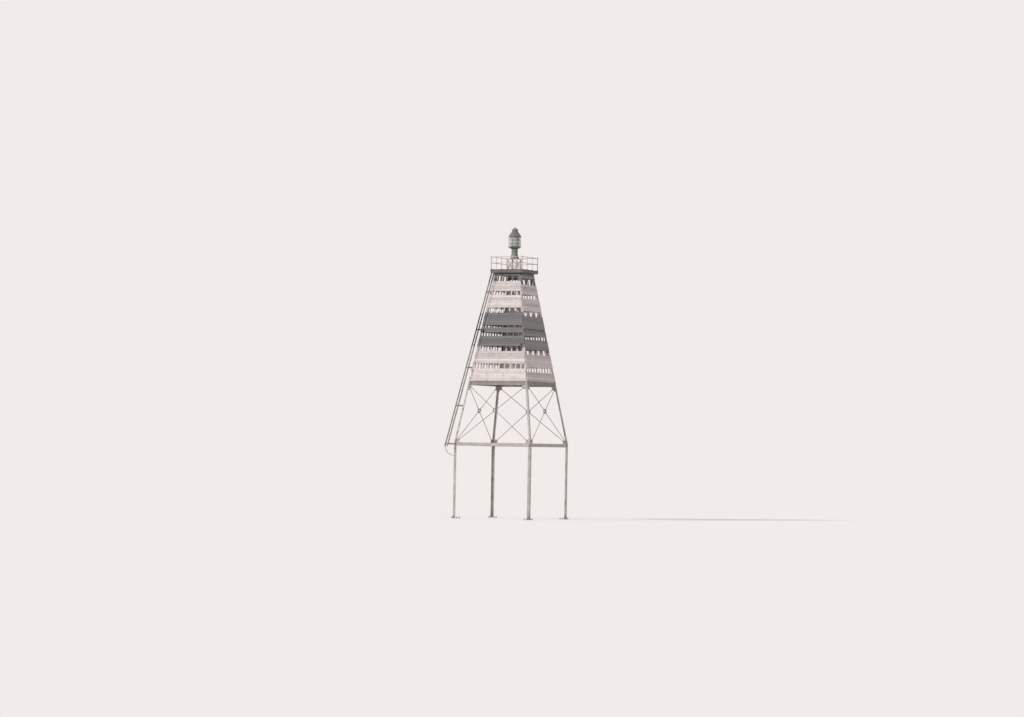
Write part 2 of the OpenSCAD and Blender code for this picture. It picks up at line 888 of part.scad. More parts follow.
module lantern_roof() {
    throat = cap_d / 2 - cap_lip;
    color(lantern_color)
        translate([0, 0, body_top])
            difference() {
                rotate_extrude($fn = 96)
                    polygon(concat([[0, 0]], roof_outline(0, cap_lip)));
                rotate_extrude($fn = 96)
                    polygon(concat([[0, -over], [eave_d / 2 - sheet_t, -over]], roof_outline(sheet_t, 0)));
                for (i = [0 : roof_vents - 1])
                    rotate([0, 0, i * 360 / roof_vents])
                        translate([throat / 2, 0, roof_h * cone_share - vent_d])
                            rotate([0, 90, 0])
                                cylinder(h = throat, d = vent_d, $fn = 32);
            }
}

// The lamp's outline: a domed foot, a stem, a round fount and the burner's gallery and tube
function lamp_outline() =
    let (foot = lamp_foot_d / 2,
         foot_edge = 5,
         stem = 10,
         stem_bottom = 0.2 * lamp_h,
         fount_middle = 0.5 * lamp_h,
         fount_half = 0.2 * lamp_h,
         neck = 16,
         gallery_t = 4)
    concat([[0, 0], [foot, 0]],
           quarter([foot, foot_edge], [stem, stem_bottom], 8),
           [for (a = [-75 : 15 : 75])
               [max(stem, fount_d / 2 * cos(a)), fount_middle + fount_half * sin(a)]],
           [[neck, fount_middle + fount_half], [neck, burner_top - 3 * gallery_t],
            [burner_d / 2, burner_top - gallery_t], [burner_d / 2, burner_top],
            [stem, burner_top], [stem, lamp_h], [0, lamp_h]]);

module lantern_burner() {
    color(brass_color)
        translate([0, 0, table_top])
            rotate_extrude($fn = 96)
                polygon(lamp_outline());
}

// Radius of the chimney, which swells round the flame, at a share of its height
function chimney_r(t) = chimney_d / 2 + chimney_d / 5 * pow(sin(180 * min(1, t / 0.45)), 2);

module lamp_chimney() {
    steps = 20;
    outside = [for (i = [0 : steps]) [chimney_r(i / steps), chimney_h * i / steps]];
    inside = [for (i = [steps : -1 : 0]) [chimney_r(i / steps) - chimney_t, chimney_h * i / steps]];
    color(glass_color)
        translate([0, 0, table_top + burner_top])
            rotate_extrude($fn = 96)
                polygon(concat(outside, inside));
}

// A curved sheet inside the lens that hides the light from one side
module blanking_screen() {
    outer = lens_d / 2 - lens_t - screen_room;
    color(lantern_color)
        translate([0, 0, table_top])
            rotate([0, 0, screen_turn - screen_angle / 2])
                rotate_extrude(angle = screen_angle, $fn = 96)
                    translate([outer - screen_t, 0])
                        square([screen_t, body_h - body_ring_h - table_t]);
}

ladder_foot_r = corner_radius(ladder_foot) + standoff_foot;
ladder_top_r = corner_radius(gallery_height) + standoff_top;
ladder_tilt = atan2(ladder_foot_r - ladder_top_r, gallery_height - ladder_foot);
ladder_length = (gallery_height - ladder_foot) / cos(ladder_tilt);

// Puts its children in front of the front left corner: x outwards, z up
module ladder_corner() {
    rotate([0, 0, 225])
        children();
}

module ladder() {
    rungs = floor((ladder_length - first_rung - rung_d) / rung_pitch);
    color(ladder_color)
        ladder_corner()
            intersection() {
                translate([ladder_foot_r, 0, ladder_foot])
                    rotate([0, -ladder_tilt, 0])
                        union() {
                            for (y = [-ladder_w / 2, ladder_w / 2])
                                translate([-stringer_w / 2, y - stringer_t / 2, -stringer_w])
                                    cube([stringer_w, stringer_t, ladder_length + 2 * stringer_w]);
                            for (i = [0 : rungs])
                                translate([0, -ladder_w / 2, first_rung + i * rung_pitch])
                                    rotate([-90, 0, 0])
                                        cylinder(h = ladder_w, d = rung_d, $fn = 24);
                        }
                translate([0, -ladder_w, ladder_foot])
                    cube([2 * base_side, 2 * ladder_w, gallery_height - ladder_foot]);
            }
}

function ladder_inner(z) = ladder_foot_r - (z - ladder_foot) * tan(ladder_tilt)
    - stringer_w / 2 / cos(ladder_tilt);

lowest_bracket = ring_height - bracket_h;
bracket_pitch = (gallery_height - lowest_bracket) / (bracket_count - 0.5);

// A bracket from the leg's corner to a bar across the back of the stringers
module ladder_bracket(z) {
    low = z - bracket_h / 2;
    high = z + bracket_h / 2;
    rotate([90, 0, 0])
        translate([0, 0, -bracket_t / 2])
            linear_extrude(height = bracket_t)
                polygon([[corner_radius(low) + fit, low], [ladder_inner(low) - weld, low],
                         [ladder_inner(high) - weld, high], [corner_radius(high) + fit, high]]);
    rotate([90, 0, 0])
        translate([0, 0, -ladder_w / 2 - stringer_t / 2])
            linear_extrude(height = ladder_w + stringer_t)
                polygon([[ladder_inner(low) - bracket_t, low], [ladder_inner(low) - fit, low],
                         [ladder_inner(high) - fit, high], [ladder_inner(high) - bracket_t, high]]);
}

// The curved strap from the ladder's foot down to the post
module foot_strap() {
    post_r = corner_radius(0) + fit;
    reach = ladder_inner(ladder_foot) - post_r;
    rotate([90, 0, 0])
        translate([0, 0, -strap_w / 2])
            linear_extrude(height = strap_w)
                intersection() {
                    translate([post_r, ladder_foot])
                        difference() {
                            circle(r = reach + stringer_w, $fn = 96);
                            circle(r = reach + stringer_w - strap_t, $fn = 96);
                        }
                    translate([post_r, ladder_foot - 2 * reach])
                        square([2 * reach, 2 * reach - fit]);
                }
}

module ladder_brackets() {
    color(ladder_color)
        ladder_corner() {
            for (i = [0 : bracket_count - 1])
                ladder_bracket(lowest_bracket + i * bracket_pitch);
            foot_strap();
        }
}

post(front);  // post_front_left
post(right);  // post_front_right
post(back);  // post_back_right
post(left);  // post_back_left
ring_beam(front);  // ring_beam_front
ring_beam(right);  // ring_beam_right
ring_beam(back);  // ring_beam_back
ring_beam(left);  // ring_beam_left
leg(front);  // leg_front_right
leg(right);  // leg_back_right
leg(back);  // leg_back_left
leg(left);  // leg_front_left
cross_ties(front);  // cross_ties_front
cross_ties(right);  // cross_ties_right
cross_ties(back);  // cross_ties_back
cross_ties(left);  // cross_ties_left
sill_beam(front);  // sill_beam_front
sill_beam(right);  // sill_beam_right
sill_beam(back);  // sill_beam_back
sill_beam(left);  // sill_beam_left
batten_frame(front);  // batten_frame_front
batten_frame(right);  // batten_frame_right
batten_frame(back);  // batten_frame_back
batten_frame(left);  // batten_frame_left
boards(front, 0, 0);  // white_boards_front
boards(right, 0, row_drop);  // white_boards_right
boards(back, 0, row_drop);  // white_boards_back
boards(left, 0, 0);  // white_boards_left
boards(front, 1, 0);  // black_boards_front
boards(right, 1, row_drop);  // black_boards_right
boards(back, 1, row_drop);  // black_boards_back
boards(left, 1, 0);  // black_boards_left
gallery_frame();
gallery_floor();
railing(front);  // railing_front
railing(right);  // railing_right
railing(back);  // railing_back
railing(left);  // railing_left
lantern_stand();
lantern_pedestal();
lantern_cage();
lantern_lens();
lantern_roof();
lantern_burner();
lamp_chimney();
blanking_screen();
ladder();
ladder_brackets();
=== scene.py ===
import bpy
import numpy as np
from functools import partial
from math import atan2, cos, pi, radians, sin, tan
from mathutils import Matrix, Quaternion, Vector


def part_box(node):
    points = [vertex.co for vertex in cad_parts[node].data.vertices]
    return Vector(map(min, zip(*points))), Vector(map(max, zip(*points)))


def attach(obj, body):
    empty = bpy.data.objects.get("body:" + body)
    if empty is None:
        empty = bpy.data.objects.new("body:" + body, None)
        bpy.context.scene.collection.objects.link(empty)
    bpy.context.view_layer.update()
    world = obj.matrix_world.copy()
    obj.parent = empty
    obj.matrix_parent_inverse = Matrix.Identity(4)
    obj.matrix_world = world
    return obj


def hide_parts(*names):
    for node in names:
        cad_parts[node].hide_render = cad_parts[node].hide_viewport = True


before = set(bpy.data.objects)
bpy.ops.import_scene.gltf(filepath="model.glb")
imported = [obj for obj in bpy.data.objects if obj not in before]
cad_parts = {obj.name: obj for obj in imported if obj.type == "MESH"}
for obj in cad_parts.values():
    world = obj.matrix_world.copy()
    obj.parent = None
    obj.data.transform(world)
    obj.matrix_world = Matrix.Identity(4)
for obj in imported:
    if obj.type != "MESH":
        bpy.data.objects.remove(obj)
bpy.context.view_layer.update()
rng = np.random.default_rng(41)

viewpoint = {
    "azimuth": 26.7,  # degrees round to the right of the front face
    "distance": 130.0,  # metres, far off with a long lens
    "eyeHeight": 2.3,
    "aimHeight": 6.126,  # the point of the tower in the middle of the picture
    "aimLeft": 0.03,  # metres left of the axis
    "lens": 119.5,
    "roll": 1.0,  # degrees, the picture leans this much
}


def placeCamera(look):
    azimuth = radians(look["azimuth"])
    rightward = Vector((cos(azimuth), sin(azimuth), 0))
    aim = Vector((0, 0, look["aimHeight"])) - look["aimLeft"] * rightward
    spot = Vector((sin(azimuth), -cos(azimuth), 0)) * look["distance"]
    spot.z = look["eyeHeight"]
    camera = bpy.data.objects.new("camera", bpy.data.cameras.new("camera"))
    camera.data.lens = look["lens"]
    camera.data.clip_end = 400
    camera.location = spot
    camera.rotation_mode = "QUATERNION"
    roll = Quaternion((0, 0, 1), radians(look["roll"]))
    camera.rotation_quaternion = (aim - spot).to_track_quat("-Z", "Y") @ roll
    bpy.context.collection.objects.link(camera)
    bpy.context.scene.camera = camera


placeCamera(viewpoint)
bpy.context.scene.view_settings.view_transform = "Standard"
print("camera placed")


def toLinear(hexColour):
    # sRGB hex to linear: the low part is divided by 12.92, the rest is ((c + 0.055) / 1.055) to the 2.4
    srgb = np.array([int(hexColour[i:i + 2], 16) for i in (1, 3, 5)]) / 255
    linear = np.where(srgb <= 0.04045, srgb / 12.92, ((srgb + 0.055) / 1.055) ** 2.4)
    return (*linear.tolist(), 1.0)


def addNode(tree, kind, inputs=(), stops=(), **settings):
    # Inputs are a dict by socket name, or a list for the sockets in use, in their order (a noise's are
    # its place, scale, detail and roughness). Each is a value, a hex colour, a socket, or a node, whose
    # first output in use is linked. Stops are the positions and colours of a colour ramp
    node = tree.nodes.new("ShaderNode" + kind)
    for name, value in settings.items():
        setattr(node, name, value)
    for index, (position, colour) in enumerate(stops):
        node.color_ramp.elements[index].position = position
        node.color_ramp.elements[index].color = toLinear(colour)
    if isinstance(inputs, dict):
        pairs = [(node.inputs[name], value) for name, value in inputs.items()]
    else:
        pairs = zip([socket for socket in node.inputs if socket.enabled], inputs)
    for socket, value in pairs:
        if isinstance(value, bpy.types.Node):
            value = next(output for output in value.outputs if output.enabled)
        if isinstance(value, bpy.types.NodeSocket):
            tree.links.new(value, socket)
        else:
            socket.default_value = toLinear(value) if isinstance(value, str) else value
    return node


def startMaterial(name):
    # An empty material, addNode bound to its tree, and its texture coordinates
    material = bpy.data.materials.new(name)
    material.use_nodes = True
    material.node_tree.nodes.clear()
    add = partial(addNode, material.node_tree)
    return material, add, add("TexCoord").outputs


daylight = {
    "from": (-0.45, -0.89, 0.62),  # the sun stands in front and to the left
    "sun": 1.74,  # a face square to it gets 1.74 / pi, about 0.55 of full white
    "softness": 3.0,  # degrees
    "sunColour": "#fffcf8",
    "sky": 0.47,
    "skyColour": "#f6f3f4",
    "background": "#f1ebe9",
}


def lightScene(light):
    sun = bpy.data.objects.new("sun", bpy.data.lights.new("sun", "SUN"))
    sun.data.energy = light["sun"]
    sun.data.angle = radians(light["softness"])
    sun.data.color = toLinear(light["sunColour"])[:3]
    sun.rotation_mode = "QUATERNION"
    sun.rotation_quaternion = Vector(light["from"]).to_track_quat("Z", "Y")
    sun.location = (-12, -16, 20)
    bpy.context.collection.objects.link(sun)
    world = bpy.data.worlds.new("paleSky")
    bpy.context.scene.world = world
    world.use_nodes = True
    world.node_tree.nodes.clear()
    add = partial(addNode, world.node_tree)
    rays = add("LightPath").outputs
    seen = add("Math", [rays["Is Camera Ray"], rays["Is Glossy Ray"]], operation="MAXIMUM")
    seen = add("Math", [seen, rays["Is Transmission Ray"]], operation="MAXIMUM")
    ambient = add("Background", [light["skyColour"], light["sky"]])
    backdrop = add("Background", [light["background"], 1.0])
    add("OutputWorld", {"Surface": add("MixShader", [seen, ambient, backdrop])})


lightScene(daylight)


def spun(profile, steps=64):
    # A surface of revolution: the radius and height of a profile, turned round the z axis
    profile = np.asarray(profile, float)
    turn = np.linspace(0, 2 * pi, steps, endpoint=False)
    x = profile[:, :1] * np.cos(turn)
    y = profile[:, :1] * np.sin(turn)
    z = np.repeat(profile[:, 1:], steps, 1)
    return np.stack([x, y, z], -1)


def gridFaces(rows, columns):
    # Quads between neighbouring rows of a grid, numbered row by row, its last column joined to the first
    i, j = np.meshgrid(np.arange(rows - 1), np.arange(columns), indexing="ij")
    k = (j + 1) % columns
    quads = [i * columns + j, i * columns + k, (i + 1) * columns + k, (i + 1) * columns + j]
    return np.stack(quads, -1).reshape(-1, 4)


floorPlan = {
    "radii": [70.0, 30.0, 12.0, 4.0, 0.01],
    "colour": "#e9e4e1",  # what the tower is lit by from below
    "fadeFrom": 14.0,  # metres from the tower, where the shadow starts to fade
    "fadeTo": 30.0,
}


def layFloor(plan):
    # A flat disc: rings of shrinking radius by turns of angle, all at height 0
    disc = spun([[radius, 0] for radius in plan["radii"]])
    mesh = bpy.data.meshes.new("floor")
    mesh.from_pydata(disc.reshape(-1, 3).tolist(), [], gridFaces(*disc.shape[:2]).tolist())
    floor = bpy.data.objects.new("floor", mesh)
    bpy.context.collection.objects.link(floor)
    # Pale matt floor paint: the tower's shadow shows near it and fades into the background further off
    material, add, place = startMaterial("paleFloor")
    reach = add("VectorMath", [place["Object"]], operation="LENGTH")
    fade = add("MapRange", [reach, plan["fadeFrom"], plan["fadeTo"]], interpolation_type="SMOOTHSTEP")
    bounce = add("BsdfDiffuse", {"Color": plan["colour"]})
    # sun and sky on a level floor, and the light that it lacks to be as bright as the background
    slant = Vector(daylight["from"]).normalized().z
    floorColour, sunColour, skyColour, background = (
        np.array(toLinear(colour)) for colour in
        (plan["colour"], daylight["sunColour"], daylight["skyColour"], daylight["background"]))
    lit = floorColour * (sunColour * daylight["sun"] * slant / pi + skyColour * daylight["sky"])
    lack = (*(background - lit)[:3].clip(0).tolist(), 1.0)
    shaded = add("AddShader", [bounce, add("Emission", [lack, 1.0])])
    seen = add("MixShader", [fade, shaded, add("Emission", [daylight["background"], 1.0])])
    mix = add("MixShader", [add("LightPath").outputs["Is Camera Ray"], bounce, seen])
    add("OutputMaterial", {"Surface": mix})
    mesh.materials.append(material)


layFloor(floorPlan)
print("light and floor ready")

tower = {
    "baseHalf": 1.62,  # metres from the axis to the face of a post
    "topHalf": 0.55,  # the same at the legs' tops, right under the gallery
}
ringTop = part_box("ring_beam_front")[1].z
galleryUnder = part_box("gallery_frame")[0].z
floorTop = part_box("gallery_floor")[1].z
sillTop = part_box("sill_beam_front")[1].z
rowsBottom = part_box("white_boards_front")[0].z
tilt = atan2(tower["baseHalf"] - tower["topHalf"], galleryUnder - ringTop)
slopeLength = (galleryUnder - ringTop) / cos(tilt)
sides = {"front": 0, "right": 90, "back": 180, "left": 270}
cornerNames = ["front_left", "front_right", "back_right", "back_left"]
# axes of small parts: across, along and outwards from what they stand on
levelAxes = np.eye(3)
uprightAxes = np.array([[1, 0, 0], [0, 0, 1], [0, -1, 0]])
leaningAxes = np.array([[1, 0, 0], [0, sin(tilt), cos(tilt)], [0, -cos(tilt), sin(tilt)]])


def halfAt(v):
    # Half the width of a leaning face: the half at its foot less the slope run times the tilt's sine
    return tower["baseHalf"] - v * sin(tilt)


def slopeAt(z):
    return (z - ringTop) / cos(tilt)


def turned(points, side):
    # Points of the front turned round the tower's axis: x cos a - y sin a, x sin a + y cos a
    a = radians(sides.get(side, side))
    return points @ np.array([[cos(a), sin(a), 0], [-sin(a), cos(a), 0], [0, 0, 1]])


def onFace(side, u, v, w):
    # A leaning face: u across, v up the slope, w outwards, from the middle of the ring beam's top
    u, v, w = np.broadcast_arrays(u, v, w)
    y = -tower["baseHalf"] + v * sin(tilt) - w * cos(tilt)
    z = ringTop + v * cos(tilt) + w * sin(tilt)
    return turned(np.stack([u, y, z], -1), side)


def closedSweep(points):
    # An outline carried along a path, its points counter-clockwise about the way it goes, both ends
    # capped
    rows, columns = points.shape[:2]
    ends = [list(range(columns))[::-1], list(range((rows - 1) * columns, rows * columns))]
    return {"points": points.reshape(-1, 3), "faces": gridFaces(rows, columns).tolist() + ends}


def ringShell(profile, steps=96):
    # A closed profile, counter-clockwise in radius and height, turned round the axis
    points = spun(profile, steps)
    faces = gridFaces(len(points) + 1, steps) % (len(points) * steps)
    return {"points": points.reshape(-1, 3), "faces": faces.tolist()}


def sawn(points, along, height, shade, across=0.5, bare=0.0):
    # A swept timber with its place on the flat as UV, and its own shade, the way across it and how bare
    # it is as an attribute
    size = points.shape[:2]
    flat, own = ([np.broadcast_to(value, size).ravel() for value in values]
                 for values in ((along, height), (shade, across, bare)))
    return {**closedSweep(points), "uv": np.stack(flat, -1), "data": np.stack(own, -1)}


def copies(part, spots, axes):
    # The same small part at many places: its points times each place's three axes, plus the place
    points = np.einsum("ni,kij->knj", part["points"], np.broadcast_to(axes, (len(spots), 3, 3)))
    starts = range(0, len(spots) * len(part["points"]), len(part["points"]))
    faces = [[index + start for index in face] for start in starts for face in part["faces"]]
    return {"points": (points + spots[:, None]).reshape(-1, 3), "faces": faces}


def copiesOn(side, part, spots, axes=levelAxes):
    # Copies laid out for the front and turned to another side
    return copies(part, turned(np.asarray(spots), side), turned(axes, side))


def joined(parts):
    # One part from several, each one's faces counted on from the points before it
    starts = np.cumsum([0] + [len(part["points"]) for part in parts]).tolist()
    whole = {key: np.concatenate([part[key] for part in parts])
             for key in ("points", "uv", "data") if all(key in part for part in parts)}
    whole["faces"] = [[index + start for index in face]
                      for part, start in zip(parts, starts) for face in part["faces"]]
    return whole


def raised(part, z):
    return {**part, "points": part["points"] + [0, 0, z]}


def makePiece(name, parts, material, replaced=(), sharp=32):
    whole = joined(parts)
    mesh = bpy.data.meshes.new(name)
    mesh.from_pydata(whole["points"].tolist(), [], whole["faces"])
    if "uv" in whole:
        vertices = np.empty(len(mesh.loops), dtype=np.int32)
        mesh.loops.foreach_get("vertex_index", vertices)
        uv = whole["uv"][vertices].astype(np.float32)
        mesh.uv_layers.new(name="along").data.foreach_set("uv", uv.ravel())
        data = whole["data"].astype(np.float32)
        mesh.attributes.new("piece", "FLOAT_VECTOR", "POINT").data.foreach_set("vector", data.ravel())
    mesh.polygons.foreach_set("use_smooth", np.full(len(mesh.polygons), True))
    mesh.set_sharp_from_angle(angle=radians(sharp))
    mesh.materials.append(material)
    piece = bpy.data.objects.new(name, mesh)
    bpy.context.collection.objects.link(piece)
    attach(piece, "root")
    if replaced:
        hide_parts(*replaced)


def coatNodes(material, nodeNames):
    # The CAD nodes that stay in view get a finish of their own
    for nodeName in nodeNames:
        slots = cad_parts[nodeName].data.materials
        slots.clear()
        slots.append(material)


def paintedTimber(name, look):
    # Brush paint on sawn softwood. The colour is paint, mottled by broad noise and by each plank's own
    # shade, streaked downwards by rain, chipped to bare wood near edges, with rust below the nails
    material, add, place = startMaterial(name)
    own = add("Attribute", attribute_name="piece").outputs["Vector"]
    shade, across, bare = add("SeparateXYZ", [own]).outputs
    # each plank reads the noise at its own place, so that no grain runs on from one to the next
    shift = add("CombineXYZ", [shade, shade, shade])
    shift = add("VectorMath", [shift, (31.0, 17.0, 5.0)], operation="MULTIPLY")
    flat = add("VectorMath", [place["UV"], shift], operation="ADD")
    along = add("Mapping", {"Vector": flat, "Scale": (1.0, look["grainStretch"], 1.0)})
    grain = add("TexNoise", [along, look["grainScale"], 5.0, 0.62])
    mottle = add("TexNoise", [flat, look["mottleScale"], 3.0, 0.6])
    # the paint's own colour: dark to light with the mottle and the plank's shade
    mixShade = add("Math", [shade, 0.62, mottle], operation="MULTIPLY_ADD")
    paint = add("ValToRGB", [mixShade], [(0.34, look["paintDark"]), (1.0, look["paintLight"])])
    # rain streaks: noise drawn long in height
    tall = add("Mapping", {"Vector": place["Object"], "Scale": (1.0, 1.0, look["streakStretch"])})
    rain = add("TexNoise", [tall, look["streakScale"], 4.0, 0.7])
    rainMask = add("MapRange", [rain, 0.5, 0.78, 0.0, look["streakDepth"]])
    # chips: more of them close to the two long edges of a plank, and bare wood on its unpainted back
    toEdge = add("Math", [add("Math", [across, 0.5], operation="SUBTRACT")], operation="ABSOLUTE")
    chips = add("TexNoise", [along, look["chipScale"], 6.0, 0.68])
    chips = add("Math", [toEdge, look["edgeWear"], chips], operation="MULTIPLY_ADD")
    chipMask = add("MapRange", [chips, look["chipFrom"], look["chipFrom"] + look["chipSoft"]])
    inner = add("Math", [bare, look["innerPaint"]], operation="SUBTRACT", use_clamp=True)
    bareMask = add("Math", [chipMask, inner], operation="MAXIMUM")
    wood = add("ValToRGB", [grain], [(0.35, look["woodDark"]), (0.68, look["woodLight"])])
    # knots: round spots some 25 mm across, one to each cell, whose resin has browned the paint
    oval = add("Mapping", {"Vector": flat, "Scale": (0.6, 1.0, 1.0)})
    knots = add("TexVoronoi", {"Vector": oval, "Scale": look["knotScale"]}, voronoi_dimensions="2D")
    knotMask = add("MapRange", [knots, 0.035, 0.075, look["knotDepth"], 0.0])
    # drying cracks: lines along the grain, where a noise drawn very long passes its middle value
    drawn = add("Mapping", {"Vector": flat, "Scale": (1.0, look["grainStretch"] * 2, 1.0)})
    cracks = add("TexNoise", [drawn, look["crackScale"], 2.0, 0.5])
    cracks = add("Math", [add("Math", [cracks, 0.5], operation="SUBTRACT")], operation="ABSOLUTE")
    crackLine = add("MapRange", [cracks, 0.004, 0.016, 1.0, 0.0])
    dry = add("MapRange", [mottle, 0.52, 0.62, 0.0, look["crackDepth"]])
    crackMask = add("Math", [crackLine, dry], operation="MULTIPLY")
    # rust in columns below the nails, which stand over the battens, where a third noise lets them bleed
    sideways = add("SeparateXYZ", [place["UV"]]).outputs[0]
    wander = add("Math", [mottle, 0.5], operation="SUBTRACT")
    nearNail = add("Math", [sideways, look["nailPitch"]], operation="PINGPONG")
    nearNail = add("Math", [wander, look["nailWander"], nearNail], operation="MULTIPLY_ADD")
    column = add("MapRange", [nearNail, 0.004, 0.016, 1.0, 0.0])
    bleeds = add("TexNoise", [place["Object"], look["bleedScale"], 3.0, 0.7])
    amount = add("MapRange", [bleeds, 0.5, 0.68, 0.0, look["rustDepth"]])
    rustMask = add("Math", [column, amount], operation="MULTIPLY")
    colour = paint
    for mask, over in ((rainMask, look["streak"]), (bareMask, wood), (knotMask, look["knot"]),
                       (crackMask, look["crack"]), (rustMask, look["rust"])):
        colour = add("Mix", [mask, colour, over], data_type="RGBA")
    rough = add("MapRange", [bareMask, 0.0, 1.0, look["paintRoughness"], 0.9])
    height = add("Math", [bareMask, -look["chipRelief"], grain], operation="MULTIPLY_ADD")
    height = add("Math", [crackMask, -look["crackRelief"], height], operation="MULTIPLY_ADD")
    bump = add("Bump", {"Height": height, "Strength": 0.55, "Distance": 0.0015})
    shader = add("BsdfPrincipled", {"Base Color": colour, "Roughness": rough, "IOR": 1.48, "Normal": bump})
    add("OutputMaterial", {"Surface": shader})
    return material


batten = {
    "width": 0.045, "depth": 0.030, "pitch": 0.232, "clear": 0.078,
    "crooked": 0.003,  # how far one stands off its place
    "shortest": 0.05, "topGap": 0.004,
    "samples": 900, "fewest": 8,  # points where its colour is looked up, and the least of one colour
    "railDepth": 0.025, "railHeight": 0.070, "joint": 0.010, "railLow": 0.120, "railHigh": 0.095,
    "railRow": 3, "railMid": 1.15,  # the middle rail hides behind this row, so many boards above its foot
    "stray": 0.035,  # how unevenly the bands' edges are painted on them
    "patternFrom": 0.09,  # where the middle one lies across the paint's pattern
    "mitreGap": 0.001,
}
plankPaint = {
    "grainScale": 42.0,  # rings about 10 mm apart, drawn a little coarse so that they show
    "grainStretch": 9.0,
    "mottleScale": 2.6,  # patches of 200 to 400 mm where the paint has worn evenly
    "streakScale": 9.0,  # streaks about 50 mm wide
    "streakStretch": 0.09,  # and eleven times as long
    "chipScale": 11.0,  # chips some 90 mm long and 10 mm wide
    "edgeWear": 0.22,  # how much more a plank chips at its edges
    "chipSoft": 0.035,
    "chipRelief": 0.8,  # how far a chip lies below the paint, as a share of the grain's relief
    "bleedScale": 5.5,  # rust runs 100 to 200 mm long
    "rust": "#8a6552",
    "knotScale": 3.2,  # about one knot to every half metre of board
    "knotDepth": 0.4,
    "knot": "#93806f",
    "crackScale": 2.6,  # cracks 100 to 300 mm long
    "crackDepth": 0.7,
    "crackRelief": 1.5,
    "crack": "#675d58",
    "nailPitch": batten["pitch"] / 2,
    "nailWander": 0.02,  # how far the rust strays sideways
}
# Chalky oil paint brushed on sawn pine: matt and uneven, grey where the weather has lifted it
whitePaint = paintedTimber("chalkyWhitePaintOnPine", {
    **plankPaint, "paintDark": "#c8bebc", "paintLight": "#f3eaea", "streak": "#b3a7a4", "streakDepth": 0.5,
    "chipFrom": 0.695, "innerPaint": 1.0, "woodDark": "#8c827d", "woodLight": "#b8afaa",
    "rustDepth": 0.34, "paintRoughness": 0.72,
})
# Coal-tar black on the same boards, on the two sunlit faces: faded to charcoal by the sun, with a satin sheen
# where it is whole
blackLook = {
    **plankPaint, "paintDark": "#4e4c4f", "paintLight": "#69676a", "streak": "#7d7a7b", "streakDepth": 0.35,
    "chipFrom": 0.715, "innerPaint": 0.0, "woodDark": "#9c928b", "woodLight": "#c2b8b1",
    "rustDepth": 0.25, "paintRoughness": 0.4, "knot": "#5b524c", "crack": "#3b3634",
}
sunnyBlack = paintedTimber("fadedBlackPaintOnPine", blackLook)
# The same tar on the two shaded sides, painted a paler, chalkier grey that lifts their shade: painted light,
# not a change in the paint
shadeLiftedBlack = paintedTimber("shadeLiftedBlackPaintOnPine", {
    **blackLook, "paintDark": "#706e70", "paintLight": "#8d8b8c", "streak": "#9c999a",
})
# the shaded right and back faces take the black painted paler against their shade
blackPaints = {"front": sunnyBlack, "left": sunnyBlack, "right": shadeLiftedBlack, "back": shadeLiftedBlack}


def rustySteel(name, look):
    # One finely detailed noise mixes dark scale and lighter rust, and is the relief too
    material, add, place = startMaterial(name)
    spots = add("TexNoise", [place["Object"], look["spotScale"], 5.0, 0.7])
    colour = add("ValToRGB", [spots], [(0.38, look["dark"]), (0.64, look["light"])])
    bump = add("Bump", {"Height": spots, "Strength": 0.5, "Distance": 0.001})
    shader = add("BsdfPrincipled", {"Base Color": colour, "Roughness": look["roughness"], "Normal": bump})
    add("OutputMaterial", {"Surface": shader})
    return material


# Steel wire nails and coach bolts, first painted with the boards and then rusted through: brown and rough
nailRust = rustySteel("rustedNailSteel", {
    "spotScale": 160.0,  # pits about 6 mm apart
    "dark": "#5b453a", "light": "#8c6a55", "roughness": 0.78,
})
# Hot-dipped zinc on forged bolts, long since dull: grey, with brown in the threads
boltSteel = rustySteel("galvanisedAnchorSteel", {
    "spotScale": 60.0,  # clouds about 17 mm apart
    "dark": "#6d6560", "light": "#9a908a", "roughness": 0.6,
})

boarding = {
    "thickness": 0.022,
    "planed": (-0.0012, 0.0008),  # how much thinner or thicker one may be
    "cupped": 0.0006,
    "rows": [5, 5, 4, 2, 5, 5, 4, 1],  # boards in each row, from the bottom
    "gaps": [2, 2.1, 1.4, 0.9, 2.1, 1.7, 2.4, 0],  # missing boards above each row
    "black": [0, 0, 1, 1, 1, 0, 0, 1],
    "lap": [-0.09, 0.05, -0.03],  # how far black runs past the bands' edges on the parts behind
    "drop": {"front": 0, "right": 1.3, "back": 1.3, "left": 0},  # rows lie so many boards lower
    "inset": 0.012,  # from the corner of the legs
    "joint": 0.003,  # between two boards of a row
    "narrowest": 0.012, "topGap": 0.002,
    "chamfer": 0.0022,
    "bow": 0.0035,  # how far a board may stand off its battens between nails
    "bowMean": 0.7,  # the share of it that is even; the rest is a wave
    "waves": 5,
    "slant": 0.0012,  # how far its ends may lie too high or too low
    "ragged": 0.006,  # how unevenly the ends are sawn
    "frayed": 0.004,  # and how far an end's corners are worn back
    "broken": 0.05,  # share of the boards with an end broken off
    "lost": (0.05, 0.24),  # how much of such a board is gone
    "splinter": 0.05,
    "stations": 22,
}
boardPitch = (galleryUnder - rowsBottom) / (sum(boarding["rows"]) + sum(boarding["gaps"]))


def boardEdges(side):
    # Lower and upper edge of every board on a face, as heights, with its row's colour
    edges = []
    drop, last = boarding["drop"][side], len(boarding["rows"]) - 1
    low = rowsBottom - drop * boardPitch
    for row, (count, gap, black) in enumerate(zip(boarding["rows"], boarding["gaps"], boarding["black"])):
        extra = int(np.ceil(drop)) if row == last else 0  # dropped rows leave room for more at the top
        for index in range(count + extra):
            bottom = max(low + index * boardPitch, rowsBottom)
            top = min(low + (index + 1) * boardPitch, galleryUnder - boarding["topGap"])
            if top - bottom > boarding["narrowest"]:
                edges.append((bottom, top, black))
        low += (count + gap) * boardPitch
    return edges


